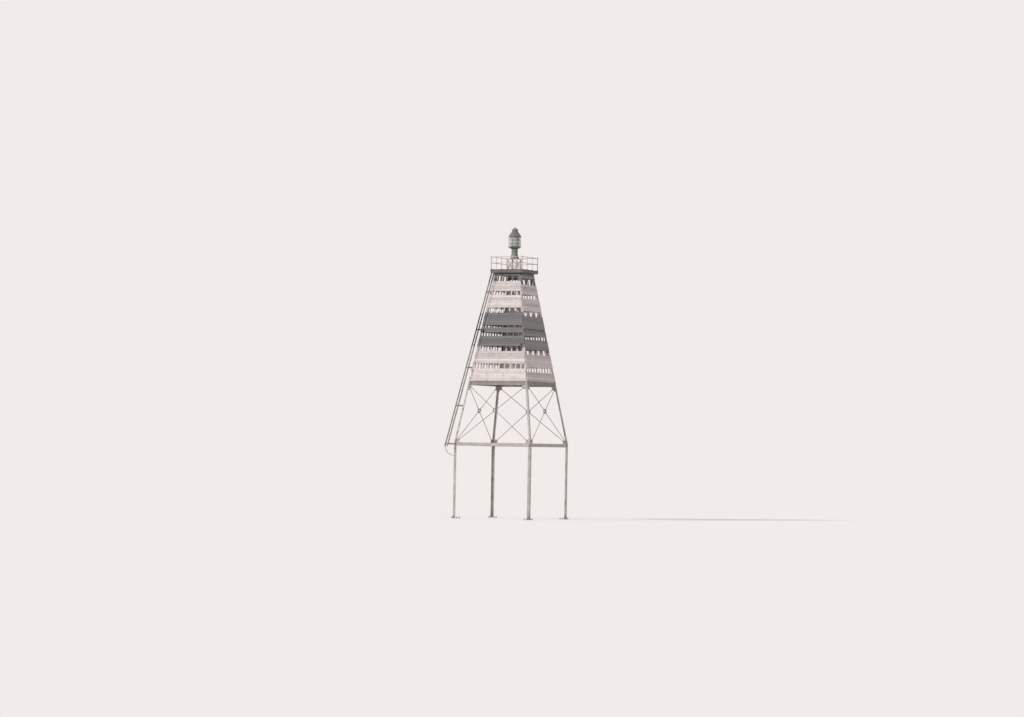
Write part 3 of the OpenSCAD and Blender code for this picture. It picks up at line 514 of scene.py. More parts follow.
def plankOutline(low, high, top, chamfer, cup):
    # Across and outwards: an oblong with chamfered corners, hollow by the cup in the middle of its face
    across = [low + chamfer, high - chamfer, high, high, high - chamfer, (low + high) / 2,
              low + chamfer, low, low]
    outwards = [0, 0, chamfer, top - chamfer, top, top - cup, top, top - chamfer, chamfer]
    return np.array(across), np.array(outwards)


def plank(side, bottom, top, look):
    # One board: its outline in height and thickness carried across the face, its ends cut to the legs'
    # slope, with a bow of 1 - s squared that a sine makes uneven, a slight slant, and uneven or broken
    # ends
    vLow, vHigh = slopeAt(bottom) + look["joint"] / 2, slopeAt(top) - look["joint"] / 2
    thick = look["thickness"] + rng.uniform(*look["planed"])
    v, w = plankOutline(vLow, vHigh, thick, look["chamfer"], look["cupped"])
    bare = np.array([1, 1, 0.6, 0, 0, 0, 0, 0, 0.6])
    t = np.linspace(0, 1, look["stations"])[:, None]
    s = 2 * t - 1
    reach = halfAt(v) - look["inset"]
    cut = rng.uniform(0, look["ragged"], (2, 1)) + rng.uniform(0, look["frayed"], (2, len(v)))
    if rng.random() < look["broken"]:
        end = rng.integers(2)
        cut[end] += rng.uniform(*look["lost"]) + rng.uniform(0, look["splinter"], len(v))
    u = (-reach + cut[0]) * (1 - t) + (reach - cut[1]) * t
    bow = rng.uniform(0, look["bow"])
    wave = rng.uniform(0, 2 * pi)
    mean = look["bowMean"]
    lift = bow * (1 - s ** 2) * (mean + (1 - mean) * np.sin(look["waves"] * s + wave))
    slope = rng.uniform(-look["slant"], look["slant"]) * s
    points = onFace(side, u, v + slope, w + lift)
    across = (v - vLow) / (vHigh - vLow)
    return sawn(points, u, v, rng.random(), across, bare), (vLow, vHigh, thick, lift.max())


def battenOffsets():
    count = int(halfAt(slopeAt(sillTop)) / batten["pitch"])
    return np.arange(-count, count + 1) * batten["pitch"]


nailHead = {
    "radius": 0.0045, "rise": 0.0016,
    "rows": (0.25, 0.75),  # shares of a board's height
    "stray": 0.004,
    "fromEnd": 0.02,  # at the least
}
coachBolt = {"radius": 0.011, "rise": 0.006, "fromCorner": 0.05, "sunk": 0.0005}


def dome(radius, rise, steps=10, rings=3):
    # A low dome: radius times the sine and rise times the cosine of an angle from the rim to the top
    angle = np.linspace(pi / 2, pi / 2 / (rings + 1), rings + 1)
    ring = spun(np.stack([radius * np.sin(angle), rise * np.cos(angle)], -1), steps)
    points = np.concatenate([ring.reshape(-1, 3), [[0, 0, rise]]])
    last = rings * steps
    top = [[last + j, last + (j + 1) % steps, last + steps] for j in range(steps)]
    bottom = list(range(steps))[::-1]
    return {"points": points, "faces": gridFaces(rings + 1, steps).tolist() + top + [bottom]}


def boardTheFace(side):
    painted = {0: [], 1: []}
    nailPlaces, boltPlaces = [], []
    across = battenOffsets()
    for bottom, top, black in boardEdges(side):
        part, (vLow, vHigh, thick, lift) = plank(side, bottom, top, boarding)
        painted[black].append(part)
        for share in nailHead["rows"]:
            v = vLow + share * (vHigh - vLow)
            u = across[np.abs(across) < halfAt(v) - batten["clear"] - nailHead["fromEnd"]]
            jitter = rng.uniform(-nailHead["stray"], nailHead["stray"], (2, len(u)))
            stand = thick + lift * (1 - (u / halfAt(v)) ** 2) * boarding["bowMean"]
            nailPlaces.append(onFace(side, u + jitter[0], v + jitter[1], stand))
        v = (vLow + vHigh) / 2
        ends = np.array([-1, 1]) * (halfAt(v) - coachBolt["fromCorner"])
        boltPlaces.append(onFace(side, ends, v, thick - coachBolt["sunk"]))
    name, axes = side.capitalize(), turned(leaningAxes, side)
    makePiece("whiteBoards" + name, painted[0], whitePaint, ["white_boards_" + side])
    makePiece("blackBoards" + name, painted[1], blackPaints[side], ["black_boards_" + side])
    nail = dome(nailHead["radius"], nailHead["rise"], 6, 1)
    bolt = dome(coachBolt["radius"], coachBolt["rise"])
    heads = [copies(nail, np.concatenate(nailPlaces), axes), copies(bolt, np.concatenate(boltPlaces), axes)]
    makePiece("nails" + name, heads, nailRust)


for faceName in sides:
    boardTheFace(faceName)
print("boards nailed on")


def bandEdges(side):
    # The heights between which the parts behind and beside the boards are painted black: the lower and
    # upper edge of the middle band, and the lower edge of the one under the gallery
    rows, gaps = np.array(boarding["rows"]), np.array(boarding["gaps"])
    gapTops = np.cumsum(rows + gaps) * boardPitch + rowsBottom - boarding["drop"][side] * boardPitch
    rowTops = gapTops - gaps * boardPitch
    return np.array([gapTops[1], rowTops[4], rowTops[6]]) + boarding["lap"]


def paintBand(z, side, own):
    # 1 where a timber at height z is painted black
    low, high, crown = bandEdges(side) + own
    return (((z > low) & (z < high)) | (z > crown)).astype(float)


def battenFrame(side):
    # Upright battens: a square outline carried up the slope, cut where the legs close in. Rails: the
    # same carried across, mitred into the corners
    black, white = [], []
    vLow = slopeAt(sillTop)
    half, depth = batten["width"] / 2, batten["depth"]
    for centre in battenOffsets():
        u = centre + np.array([-half, -half, half, half]) + rng.uniform(-batten["crooked"], batten["crooked"])
        vTop = np.minimum(slopeLength, (tower["baseHalf"] - batten["clear"] - np.abs(u)) / sin(tilt))
        vTop -= batten["topGap"]
        if vTop.min() < vLow + batten["shortest"]:
            continue
        own = rng.uniform(-batten["stray"], batten["stray"], 3)
        sample = np.linspace(vLow, vTop.min(), batten["samples"])
        band = paintBand(ringTop + sample * cos(tilt), side, own)
        edges = np.concatenate([[0], np.flatnonzero(np.diff(band)) + 1, [len(sample) - 1]])
        for a, b in zip(edges[:-1], edges[1:]):
            if b - a < batten["fewest"]:
                continue
            t = np.linspace(0, 1, 8)[:, None]
            v = sample[a] * (1 - t) + (vTop if b == len(sample) - 1 else sample[b]) * t
            points = onFace(side, u, v, np.array([-depth, 0, 0, -depth]))
            timber = sawn(points, v, u + batten["patternFrom"], rng.random())
            (black if band[a] else white).append(timber)
    back = -batten["depth"] - batten["railDepth"] + batten["joint"]
    row = batten["railRow"]
    boardsBelow = sum(boarding["rows"][:row]) + sum(boarding["gaps"][:row]) + batten["railMid"]
    middle = slopeAt(rowsBottom + boardsBelow * boardPitch) - batten["railHeight"] / 2
    for low in (vLow + batten["railLow"], middle, slopeLength - batten["railHigh"]):
        v = low + np.array([0, 1, 1, 0]) * batten["railHeight"]
        w = back + np.array([0, 0, 1, 1]) * batten["railDepth"]
        u = np.linspace(-1, 1, 12)[:, None] * (halfAt(v) + w * cos(tilt) - batten["mitreGap"])
        rail = sawn(onFace(side, u, v, w), u, v, rng.random())
        (black if low == middle else white).append(rail)
    name = side.capitalize()
    makePiece("whiteBattens" + name, white, whitePaint, ["batten_frame_" + side])
    makePiece("blackBattens" + name, black, blackPaints[side], ["batten_frame_" + side])


for faceName in sides:
    battenFrame(faceName)
print("battens and rails behind the boards")


def blackenBands(add, place, mottle, paint, look):
    # Black paint over the first coat, between the heights of the daymark's bands. They lie lower on the
    # right and back faces, where x + y is above 0, and a broad noise makes their brushed edges uneven
    x, y, z = add("SeparateXYZ", [place["Object"]]).outputs
    drop = add("MapRange", [add("Math", [x, y], operation="ADD"), -0.002, 0.002, 0.0, look["bandDrop"]])
    level = add("Math", [z, drop], operation="ADD")
    level = add("Math", [mottle, look["bandStray"], level], operation="MULTIPLY_ADD")
    inside = [add("Math", [level, (low + high) / 2, (high - low) / 2], operation="COMPARE")
              for low, high in look["bands"]]
    either = add("Math", inside, operation="MAXIMUM")
    black = add("Mix", [mottle, look["blackDark"], look["blackLight"]], data_type="RGBA")
    return add("Mix", [either, paint, black], data_type="RGBA")


def paintedSteel(name, look):
    # Oil paint on rolled steel. The colour is paint mottled by broad noise; rust breaks through in
    # blotches, most of all near the heights of the joints, and stains the paint below in long runs
    material, add, place = startMaterial(name)
    spot = place["Object"]
    mottle = add("TexNoise", [spot, look["mottleScale"], 4.0, 0.6])
    paint = add("ValToRGB", [mottle], [(0.36, look["dark"]), (0.66, look["light"])])
    if look["bands"]:
        paint = blackenBands(add, place, mottle, paint, look)
    tall = add("Mapping", {"Vector": spot, "Scale": (1.0, 1.0, look["runStretch"])})
    runs = add("TexNoise", [tall, look["runScale"], 4.0, 0.65])
    blotches = add("TexNoise", [spot, look["rustScale"], 7.0, 0.72])
    rustSum = add("Math", [runs, look["runShare"], blotches], operation="MULTIPLY_ADD")
    # joints are rusty: 1 at a joint's height, falling to 0 at splash above it and runLength below it
    height = add("SeparateXYZ", [spot]).outputs["Z"]
    nearJoint = None
    for level in look["joints"]:
        above = add("MapRange", [height, level + look["splash"], level, 0.0, 1.0])
        below = add("MapRange", [height, level - look["runLength"], level])
        here = add("Math", [above, below], operation="MULTIPLY")
        nearJoint = here if nearJoint is None else add("Math", [here, nearJoint], operation="MAXIMUM")
    if nearJoint is not None:
        rustSum = add("Math", [nearJoint, look["jointRust"], rustSum], operation="MULTIPLY_ADD")
    start = look["rustFrom"]
    rustMask = add("MapRange", [rustSum, start, start + look["rustSoft"]], interpolation_type="SMOOTHSTEP")
    stain = add("MapRange", [rustSum, start - look["stainAhead"], start + 0.02, 0.0, look["stainDepth"]])
    rust = add("ValToRGB", [blotches], [(0.4, look["rustDark"]), (0.7, look["rustLight"])])
    stained = add("Mix", [stain, paint, look["stain"]], data_type="RGBA")
    colour = add("Mix", [rustMask, stained, rust], data_type="RGBA")
    rough = add("MapRange", [rustMask, 0.0, 1.0, look["roughness"], 0.85])
    brush = add("TexNoise", [spot, look["brushScale"], 3.0, 0.5])
    relief = add("Math", [rustMask, -look["rustRelief"], brush], operation="MULTIPLY_ADD")
    bump = add("Bump", {"Height": relief, "Strength": look["relief"], "Distance": 0.001})
    shader = add("BsdfPrincipled", {"Base Color": colour, "Roughness": rough, "IOR": 1.5, "Normal": bump})
    add("OutputMaterial", {"Surface": shader})
    return material


steelPaint = {
    "mottleScale": 3.2,  # worn patches of about 300 mm
    "runScale": 14.0,  # runs about 70 mm apart
    "runStretch": 0.12,  # and eight times as long
    "runShare": 0.35,  # how much they add to the blotches
    "rustScale": 16.0,  # blotches of 30 to 60 mm
    "brushScale": 260.0,  # brush marks about 4 mm apart
    "joints": [], "splash": 0.12, "runLength": 0.5, "jointRust": 0.16,
    "rustFrom": 0.84, "rustSoft": 0.07, "rustRelief": 0.7, "stainAhead": 0.14,
    "rustDark": "#5d4438", "rustLight": "#8a6249", "stain": "#a08d84", "stainDepth": 0.3,
    "roughness": 0.38, "relief": 0.35, "bands": [],
}
# The daymark's black, carried over the legs and the ladder: tar thinned with oil, faded by the sun
bandLow, bandHigh, crownLow = bandEdges("front").tolist()
bandPaint = {
    "bands": [(bandLow + 0.07, bandHigh), (crownLow, galleryUnder + 0.2)],
    "bandDrop": boarding["drop"]["right"] * boardPitch, "bandStray": 0.06,
    "blackDark": "#504e51", "blackLight": "#6f6d70",
}
# Light grey oil paint on rolled angle iron: dull, with brown runs from the joints
frameLook = {
    **steelPaint, "dark": "#b3aca9", "light": "#cec7c4", "joints": [ringTop, sillTop, 0.1, galleryUnder],
}
framePaint = paintedSteel("greyPaintOnAngleIron", frameLook)
coatNodes(framePaint, ["post_" + corner for corner in cornerNames])
# The same paint on the legs, which are black where they pass the daymark's black bands
legPaint = paintedSteel("bandedPaintOnLegs", {**frameLook, **bandPaint, "joints": [ringTop, sillTop]})
coatNodes(legPaint, ["leg_" + corner for corner in cornerNames])
# The same paint on the ring beams, washed paler by the rain that stands on their flanges
ringPaint = paintedSteel("palePaintOnRingBeams", {
    **steelPaint, "dark": "#bbb2b0", "light": "#d0c8c6", "joints": [ringTop - 0.1], "jointRust": 0.06,
})
coatNodes(ringPaint, ["ring_beam_" + side for side in sides])
# Darker lead paint on the sill beams: brownish grey, rusty along the lower edge
sillPaint = paintedSteel("darkPaintOnSillBeams", {
    **steelPaint, "dark": "#756b68", "light": "#918783", "joints": [sillTop - 0.08], "jointRust": 0.1,
})
coatNodes(sillPaint, ["sill_beam_" + side for side in sides])
# Grey paint on round rods and forgings: dull, brown at the threads
tiePaint = paintedSteel("greyPaintOnTieRods", {
    **steelPaint, "dark": "#8a827f", "light": "#a69e9a", "joints": [ringTop + 0.06, sillTop - 0.2],
    "jointRust": 0.1, "rustFrom": 0.8,
})
coatNodes(tiePaint, ["cross_ties_" + side for side in sides])
# Bituminous paint on the gallery's channels: nearly black, faded to grey by the sun
galleryPaint = paintedSteel("bitumenPaintOnChannels", {
    **steelPaint, "dark": "#625e5e", "light": "#7e7979", "joints": [galleryUnder], "jointRust": 0.08,
    "roughness": 0.6,
})
coatNodes(galleryPaint, ["gallery_frame"])
# Light grey paint on the thin rails, chalky
railPaint = paintedSteel("greyPaintOnRails", {
    **steelPaint, "dark": "#c6bebb", "light": "#e3dbd8", "joints": [floorTop + 0.02], "jointRust": 0.12,
})
coatNodes(railPaint, ["railing_" + side for side in sides])
# Chalky white paint on the stand's small angles, stained pink by rust
standPaint = paintedSteel("whitePaintOnStand", {
    **steelPaint, "dark": "#cbbcb8", "light": "#e3d9d5", "stain": "#b78f80", "stainDepth": 0.5,
    "rustScale": 22.0,  # spots of 45 mm, finer than on the frame
    "joints": [floorTop + 0.03], "jointRust": 0.12, "rustFrom": 0.86,
})
coatNodes(standPaint, ["lantern_stand"])
# Grey paint on the ladder's flat bars, bleached, with blotches of rust, and black beside the black bands
ladderPaint = paintedSteel("bleachedPaintOnLadder", {
    **steelPaint, **bandPaint, "dark": "#9f9794", "light": "#bab2b1", "rustFrom": 0.82,
})
coatNodes(ladderPaint, ["ladder", "ladder_brackets"])
# Grey-green gloss paint on castings and sheet, dulled by salt: the highlights stay soft
lanternPaint = paintedSteel("greyGreenGlossPaintOnCastings", {
    **steelPaint, "dark": "#717370", "light": "#8d8e88", "stain": "#9c9d9a", "stainDepth": 0.4,
    "mottleScale": 7.0, "runScale": 24.0, "rustScale": 30.0,  # patches of 140 mm, runs of 40, spots of 30
    "rustFrom": 0.93, "roughness": 0.42, "relief": 0.2,
})
print("steelwork painted")


hexShape = {
    "washer": 0.003, "sunk": 0.001,
    "shoulder": 0.84, "crown": 0.86,  # where its corners start to round off, and what is left on top
}


def hexHead(flats, height, washer=0.0):
    # A six-sided head, straight up to its shoulder and narrower from there to its top, on a round
    # washer where it has one
    radius, foot = flats / 2 / cos(pi / 6), hexShape["washer"]
    head = [(radius, foot if washer else 0), (radius, height * hexShape["shoulder"] + foot),
            (radius * hexShape["crown"], height + foot)]
    parts = [closedSweep(spun(head, 6))]
    if washer:
        parts.append(closedSweep(spun([(washer, -hexShape["sunk"]), (washer, foot)], 14)))
    return joined(parts)


def fourCorners(half):
    # The corners of a level square about the axis
    return np.array([[x, y, 0] for x in (-1, 1) for y in (-1, 1)]) * half


frameBolt = {
    "flats": 0.027, "height": 0.012, "washer": 0.019,
    "legRows": [0.045, 0.10, 0.155],  # up the slope from the ring beam
    "sillRows": [0.035, 0.11, 0.20, 0.255, 0.31],  # down the slope from the sill beam's top
    "fromLegEdge": 0.043,
    "beamRows": [0.3, 0.75],  # shares of the ring beam's depth
    "fromBeamEnd": 0.055,
}


def boltTheFrame(bolt):
    heads = []
    hexBolt = hexHead(bolt["flats"], bolt["height"], bolt["washer"])
    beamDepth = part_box("ring_beam_front")[1].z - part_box("ring_beam_front")[0].z
    v = np.tile(np.concatenate([bolt["legRows"], slopeAt(sillTop) - np.array(bolt["sillRows"])]), 2)
    u = (halfAt(v) - bolt["fromLegEdge"]) * np.repeat([-1, 1], len(v) // 2)
    ends = np.array([-1, 1]) * (tower["baseHalf"] - bolt["fromBeamEnd"])
    levels = ringTop - np.array(bolt["beamRows"]) * beamDepth
    spots = [[x, -tower["baseHalf"], z] for x in ends for z in levels]
    for side in sides:
        heads.append(copies(hexBolt, onFace(side, u, v, 0), turned(leaningAxes, side)))
        heads.append(copiesOn(side, hexBolt, spots, uprightAxes))
    return heads


makePiece("frameBolts", boltTheFrame(frameBolt), framePaint, sharp=20)

anchor = {
    "corner": 1.54, "inset": 0.105,  # the middle of a base plate from the axis, and its bolts from there
    "plate": 0.016, "radius": 0.0101, "rise": 0.072, "flats": 0.030, "nut": 0.018, "washer": 0.021,
    "threadFrom": 0.022,  # above the plate, right over the nut
    "pitch": 0.0025, "depth": 0.0006,
}


def anchorBolts():
    # Threaded stubs: a ring of points whose radius goes down by the thread's depth at every other step
    # of half its pitch
    z = np.arange(anchor["plate"] + anchor["threadFrom"], anchor["rise"], anchor["pitch"] / 2)
    thread = np.stack([anchor["radius"] - anchor["depth"] * (np.arange(len(z)) % 2), z], -1)
    tip = [anchor["radius"] - 0.002, anchor["rise"] + 0.002]
    stub = closedSweep(spun(np.vstack([[anchor["radius"], 0.001], thread, tip]), 12))
    nut = raised(hexHead(anchor["flats"], anchor["nut"], anchor["washer"]), anchor["plate"])
    spots = fourCorners(anchor["corner"])[:, None] + fourCorners(anchor["inset"])
    return [copies(joined([stub, nut]), spots.reshape(-1, 3), levelAxes)]


makePiece("anchorBolts", anchorBolts(), boltSteel, sharp=20)
print("bolts and anchors")

deck = {
    "side": 1.36, "thickness": 0.030, "boards": 10, "joint": 0.005, "ragged": 0.007, "chamfer": 0.003,
    "planed": 0.0025, "cupped": 0.001,
    "nailRows": [-0.655, -0.513, 0.513, 0.655], "nailColumns": [0.3, 0.7], "nailStray": 0.004,
    "nail": (0.006, 0.002),  # radius and rise of its head
}
# Tarred deck planks: nearly black where the tar holds, grey-brown where feet have worn it
tarredDeck = paintedTimber("tarredDeckPlanks", {
    **plankPaint, "paintDark": "#4b4542", "paintLight": "#6a625e", "streak": "#7f756f", "streakDepth": 0.4,
    "chipFrom": 0.66, "innerPaint": 1.0, "woodDark": "#6a5f58", "woodLight": "#94887f",
    "nailPitch": 0.63, "rustDepth": 0.0, "paintRoughness": 0.75,
})


def layDeck():
    # Deck boards side by side: a chamfered outline carried from edge to edge of the gallery
    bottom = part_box("gallery_floor")[0].z
    half, pitch = deck["side"] / 2, deck["side"] / deck["boards"]
    parts, nails = [], []
    for index in range(deck["boards"]):
        low = -half + index * pitch + (deck["joint"] / 2 if index else 0)
        high = -half + (index + 1) * pitch - (deck["joint"] / 2 if index < deck["boards"] - 1 else 0)
        top = deck["thickness"] - rng.uniform(0, deck["planed"])
        x, z = plankOutline(low, high, top, deck["chamfer"], deck["cupped"])
        cut = rng.uniform(0, deck["ragged"], 2)
        t = np.linspace(0, 1, 16)[:, None]
        y = (half - cut[0]) * (1 - t) - (half - cut[1]) * t
        points = np.stack(np.broadcast_arrays(x, y, bottom + z), -1)
        parts.append(sawn(points, y, x, rng.random(), (x - low) / (high - low)))
        columns = [low + share * pitch for share in deck["nailColumns"]]
        spots = [[column, row, bottom + top] for column in columns for row in deck["nailRows"]]
        nails.append(spots + rng.uniform(-deck["nailStray"], deck["nailStray"], (8, 3)) * [1, 1, 0])
    makePiece("galleryPlanks", parts, tarredDeck, ["gallery_floor"])
    heads = [copies(dome(*deck["nail"], 6, 1), np.concatenate(nails), levelAxes)]
    makePiece("deckNails", heads, nailRust)


layDeck()

railing = {
    "side": 1.344, "post": 0.028, "height": 0.5, "rail": 0.020, "collar": 0.019, "collarLength": 0.030,
    "plate": 0.075, "plateThickness": 0.008, "plateIn": 0.0195, "squareness": 5.0, "boltIn": 0.027,
    "bolt": (0.013, 0.006),  # flats and height of its head
    "bulge": 0.7,  # the power of the sine; below 1 makes the barrel fuller
    "clear": 0.0005,
}


def railingFittings():
    # Cast eyes where the rails pass the posts: a barrel, radius bulging with the sine along its length.
    # Feet: plates on a superellipse, whose cosine and sine are raised to 2 over its squareness, and four
    # bolts each
    parts = []
    gap = (railing["side"] - railing["post"]) / 3
    start = -railing["side"] / 2 + railing["post"] / 2
    t = np.linspace(0, 1, 7)
    rod = railing["rail"] / 2
    radius = rod + (railing["collar"] - rod) * np.sin(pi * t) ** railing["bulge"] + railing["clear"]
    eye = closedSweep(spun(np.stack([radius, (t - 0.5) * railing["collarLength"]], -1), 12))
    alongX = np.array([[0, 1, 0], [0, 0, 1], [1, 0, 0]])
    thick = railing["plateThickness"]
    unit = spun([[1, 1]], 24)[0]
    outline = np.sign(unit) * np.abs(unit) ** (2 / railing["squareness"])
    half = railing["plate"] / 2
    sizes = [half, half, railing["clear"]], [half, half, thick * 0.7], [half * 0.95, half * 0.95, thick]
    plate, bolt = closedSweep(np.stack([outline * size for size in sizes])), hexHead(*railing["bolt"])
    posts = start + gap * np.arange(3)
    levels = floorTop + np.array([railing["height"] / 2, railing["height"] - railing["rail"]])
    eyes = [[x, start, z] for x in (*posts, -start - railing["post"] * 0.9) for z in levels]
    feet = np.array([[x, start + railing["plateIn"], floorTop] for x in posts])
    feet[0, 0] += railing["plateIn"]
    bolts = (feet[:, None] + fourCorners(railing["boltIn"]) + [0, 0, thick]).reshape(-1, 3)
    for side in sides:
        parts += [copiesOn(side, eye, eyes, alongX), copiesOn(side, plate, feet), copiesOn(side, bolt, bolts)]
    return parts


makePiece("railingFittings", railingFittings(), railPaint, sharp=30)

rivet = {"radius": 0.010, "rise": 0.006, "count": 12, "fromEnd": 0.05, "fromEdge": 0.022}


def galleryRivets():
    # Rivet heads in two rows along the edge channels
    low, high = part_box("gallery_frame")
    along = np.linspace(-high.x + rivet["fromEnd"], high.x - rivet["fromEnd"], rivet["count"])
    spots = [[x, -high.x, z] for x in along for z in (low.z + rivet["fromEdge"], high.z - rivet["fromEdge"])]
    head = dome(rivet["radius"], rivet["rise"])
    return [copiesOn(side, head, spots, uprightAxes) for side in sides]


makePiece("galleryRivets", galleryRivets(), galleryPaint)

stand = {
    "side": 0.40, "height": 0.43, "braceEnd": 0.055, "foot": 0.020,
    "rivet": (0.008, 0.005), "rivetIn": 0.020,
    "screw": (0.019, 0.009, 0.014), "screwIn": 0.022,  # a screw's flats, height and washer
}


def standFittings():
    # Rivets at the braces' ends and crossings, at the feet and half-way up, and cap screws round the
    # top plate
    half, middle, top = stand["side"] / 2, stand["height"] / 2, stand["height"] - stand["braceEnd"]
    rows = [stand["braceEnd"], top, stand["foot"], middle]
    across = half - stand["rivetIn"]
    spots = [[x, -half, floorTop + z] for z in rows for x in (-across, across)]
    spots.append([0, -half, floorTop + middle])
    parts = [copiesOn(side, dome(*stand["rivet"]), spots, uprightAxes) for side in sides]
    screws = fourCorners(half - stand["screwIn"]) + [0, 0, floorTop + stand["height"]]
    return parts + [copies(hexHead(*stand["screw"]), screws, levelAxes)]


makePiece("standFittings", standFittings(), standPaint)
print("gallery fitted out")


def arc(centre, radius, start, end, steps):
    # Points of a profile on a circle: centre plus radius times cosine and sine
    angle = np.radians(np.linspace(start, end, steps))
    return np.stack([centre[0] + radius * np.cos(angle), centre[1] + radius * np.sin(angle)], -1)


def evenly(count, offset=0.0):
    # Angles of so many parts round the axis, the first one so far along its share
    return (np.arange(count) + offset) * 2 * pi / count


def onCircle(radius, angles, z):
    # Places on a level circle: radius times cosine and sine of the angle
    return np.stack([radius * np.cos(angles), radius * np.sin(angles), np.full(len(angles), z)], -1)


def polarAxes(angles, tipped=False):
    # Axes for parts on a drum: outwards, round and up, or round, up and outwards when tipped
    outward, sideways = onCircle(1, angles, 0), onCircle(1, angles + pi / 2, 0)
    upward = onCircle(0, angles, 1)
    return np.stack((sideways, upward, outward) if tipped else (outward, sideways, upward), 1)


pedestal = {
    "foot": 0.190, "rim": 0.022, "waist": 0.118, "cup": 0.212, "wall": 0.020, "bead": 0.009,
    "flareTop": 0.56, "beadAt": 0.69, "cupFrom": 0.82, "cupRise": 0.145,  # shares of the height
    "flareIn": 0.024, "flareUp": 0.010, "flarePower": 1.7,
    "studs": 8, "studIn": 0.031, "stud": (0.024, 0.013, 0.018),
}


def castPedestal():
    # A flared foot, radius falling with a power of the height; a bead round the waist; a cup on a
    # quarter ellipse
    low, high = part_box("lantern_pedestal")
    height = high.z - low.z
    foot, rim, waist = pedestal["foot"], pedestal["rim"], pedestal["waist"]
    cup, wall, bead = pedestal["cup"], pedestal["wall"], pedestal["bead"]
    t = np.linspace(0, 1, 18)
    flareFoot, flareLow = foot - pedestal["flareIn"], rim + pedestal["flareUp"]
    flare = np.stack([waist + (flareFoot - waist) * (1 - t) ** pedestal["flarePower"],
                      flareLow + (pedestal["flareTop"] * height - flareLow) * t], -1)
    beadAt = pedestal["beadAt"] * height
    turn = np.radians(np.linspace(0, 90, 14))
    upper = np.stack([cup + (waist - cup) * np.cos(turn),
                      (pedestal["cupFrom"] + pedestal["cupRise"] * np.sin(turn)) * height], -1)
    body = ringShell(np.vstack([
        [foot - 0.004, 0], [foot, 0.004], arc((foot - 0.005, rim - 0.005), 0.005, 0, 90, 4),
        [foot - 0.014, rim], [foot - 0.014, rim + 0.006], flare,
        [waist, beadAt - bead - 0.004], arc((waist - 0.001, beadAt), bead, -80, 80, 9),
        [waist, beadAt + bead + 0.004], upper,
        [cup, height - 0.012], [cup + 0.006, height - 0.010], [cup + 0.006, height],
        [cup - wall, height], [cup - wall, height - 0.02], [waist - wall, 0.8 * height],
        [waist - wall, 0.5 * height], [foot - 0.05, rim + 0.01], [foot - 0.035, 0]]))
    spots = onCircle(foot - pedestal["studIn"], evenly(pedestal["studs"], 0.5), rim + 0.001)
    return [raised(part, low.z) for part in (body, copies(hexHead(*pedestal["stud"]), spots, levelAxes))]


makePiece("lanternPedestal", castPedestal(), lanternPaint, ["lantern_pedestal"])

cage = {
    "rings": 0.034, "radius": 0.242, "lap": 0.180, "bars": 6, "barRadius": 0.008, "barCircle": 0.226,
    "swells": [(0.02, 0.55, 0.03), (0.34, 0.275, 0.02), (0.66, 0.275, 0.02), (0.98, 0.55, 0.03)],
    "hoops": [1 / 3, 2 / 3], "hoopRadius": 0.0045, "screws": 12, "screwUp": 0.017, "screw": (0.005, 0.003),
}


def guardCage():
    # Two moulded rings; round bars, whose radius swells with bell curves at places along them; thin
    # hoops of round rod, and screws in the rings
    low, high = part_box("lantern_cage")
    height, ring, radius = high.z - low.z, cage["rings"], cage["radius"]
    mould = ringShell(np.vstack([
        [cage["lap"], 0], [radius - 0.006, 0], arc((radius - 0.006, 0.006), 0.006, -60, 0, 4),
        [radius, 0.011], [radius - 0.004, 0.013], [radius - 0.004, 0.021], [radius, 0.023],
        arc((radius - 0.006, ring - 0.006), 0.006, 0, 90, 4), [cage["lap"], ring]]))
    t = np.linspace(0, 1, 25)
    swell = 1 + sum(rise * np.exp(-((t - place) / width) ** 2) for place, rise, width in cage["swells"])
    barHeights = ring - 0.001 + t * (height - 2 * ring + 0.002)
    bar = closedSweep(spun(np.stack([cage["barRadius"] * swell, barHeights], -1), 12))
    angles = evenly(cage["bars"], 0.5)
    hoop = ringShell(arc((cage["barCircle"], 0), cage["hoopRadius"], 0, 330, 12))
    parts = [raised(mould, low.z), raised(mould, high.z - ring),
             copies(bar, onCircle(cage["barCircle"], angles, low.z), polarAxes(angles))]
    parts += [raised(hoop, low.z + height * share) for share in cage["hoops"]]
    angles = evenly(cage["screws"], 0.25)
    for z in (low.z + cage["screwUp"], high.z - cage["screwUp"]):
        spots = onCircle(radius - 0.004, angles, z)
        parts.append(copies(dome(*cage["screw"], 8, 2), spots, polarAxes(angles, tipped=True)))
    return parts


makePiece("guardCage", guardCage(), lanternPaint, ["lantern_cage"])

lens = {
    "radius": 0.200, "thickness": 0.022, "tooth": 0.009, "prisms": 5, "belt": 0.22,
    "gap": 0.0006, "edge": 0.0016, "edgeIn": 0.0012,  # between prisms, and their narrow edges
}


def drumLens():
    # A belt whose radius swells with the cosine over its height, and above and below it saw-tooth
    # prisms: out over one step, a narrow edge, then straight back in
    low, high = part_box("lantern_lens")
    height = high.z - low.z
    step = (height * (1 - lens["belt"])) / 2 / lens["prisms"]
    outer, root = lens["radius"], lens["radius"] - lens["tooth"]
    edge, top = outer - lens["edgeIn"], step - lens["gap"]
    tooth = np.array([[root, lens["gap"]], [edge, top - lens["edge"]], [edge, top]])
    lower = np.concatenate([tooth + [0, k * step] for k in range(lens["prisms"])])
    angle = np.radians(np.linspace(-84, 84, 15))
    bulge = np.stack([root + lens["tooth"] * np.cos(angle),
                      height / 2 + height * lens["belt"] / 2 * np.sin(angle)], -1)
    upper = lower[::-1] * [1, -1] + [0, height]
    inner = outer - lens["thickness"]
    profile = np.vstack([[inner, 0], [root, 0], lower, bulge, upper, [root, height], [inner, height]])
    return [raised(ringShell(profile, 128), low.z)]


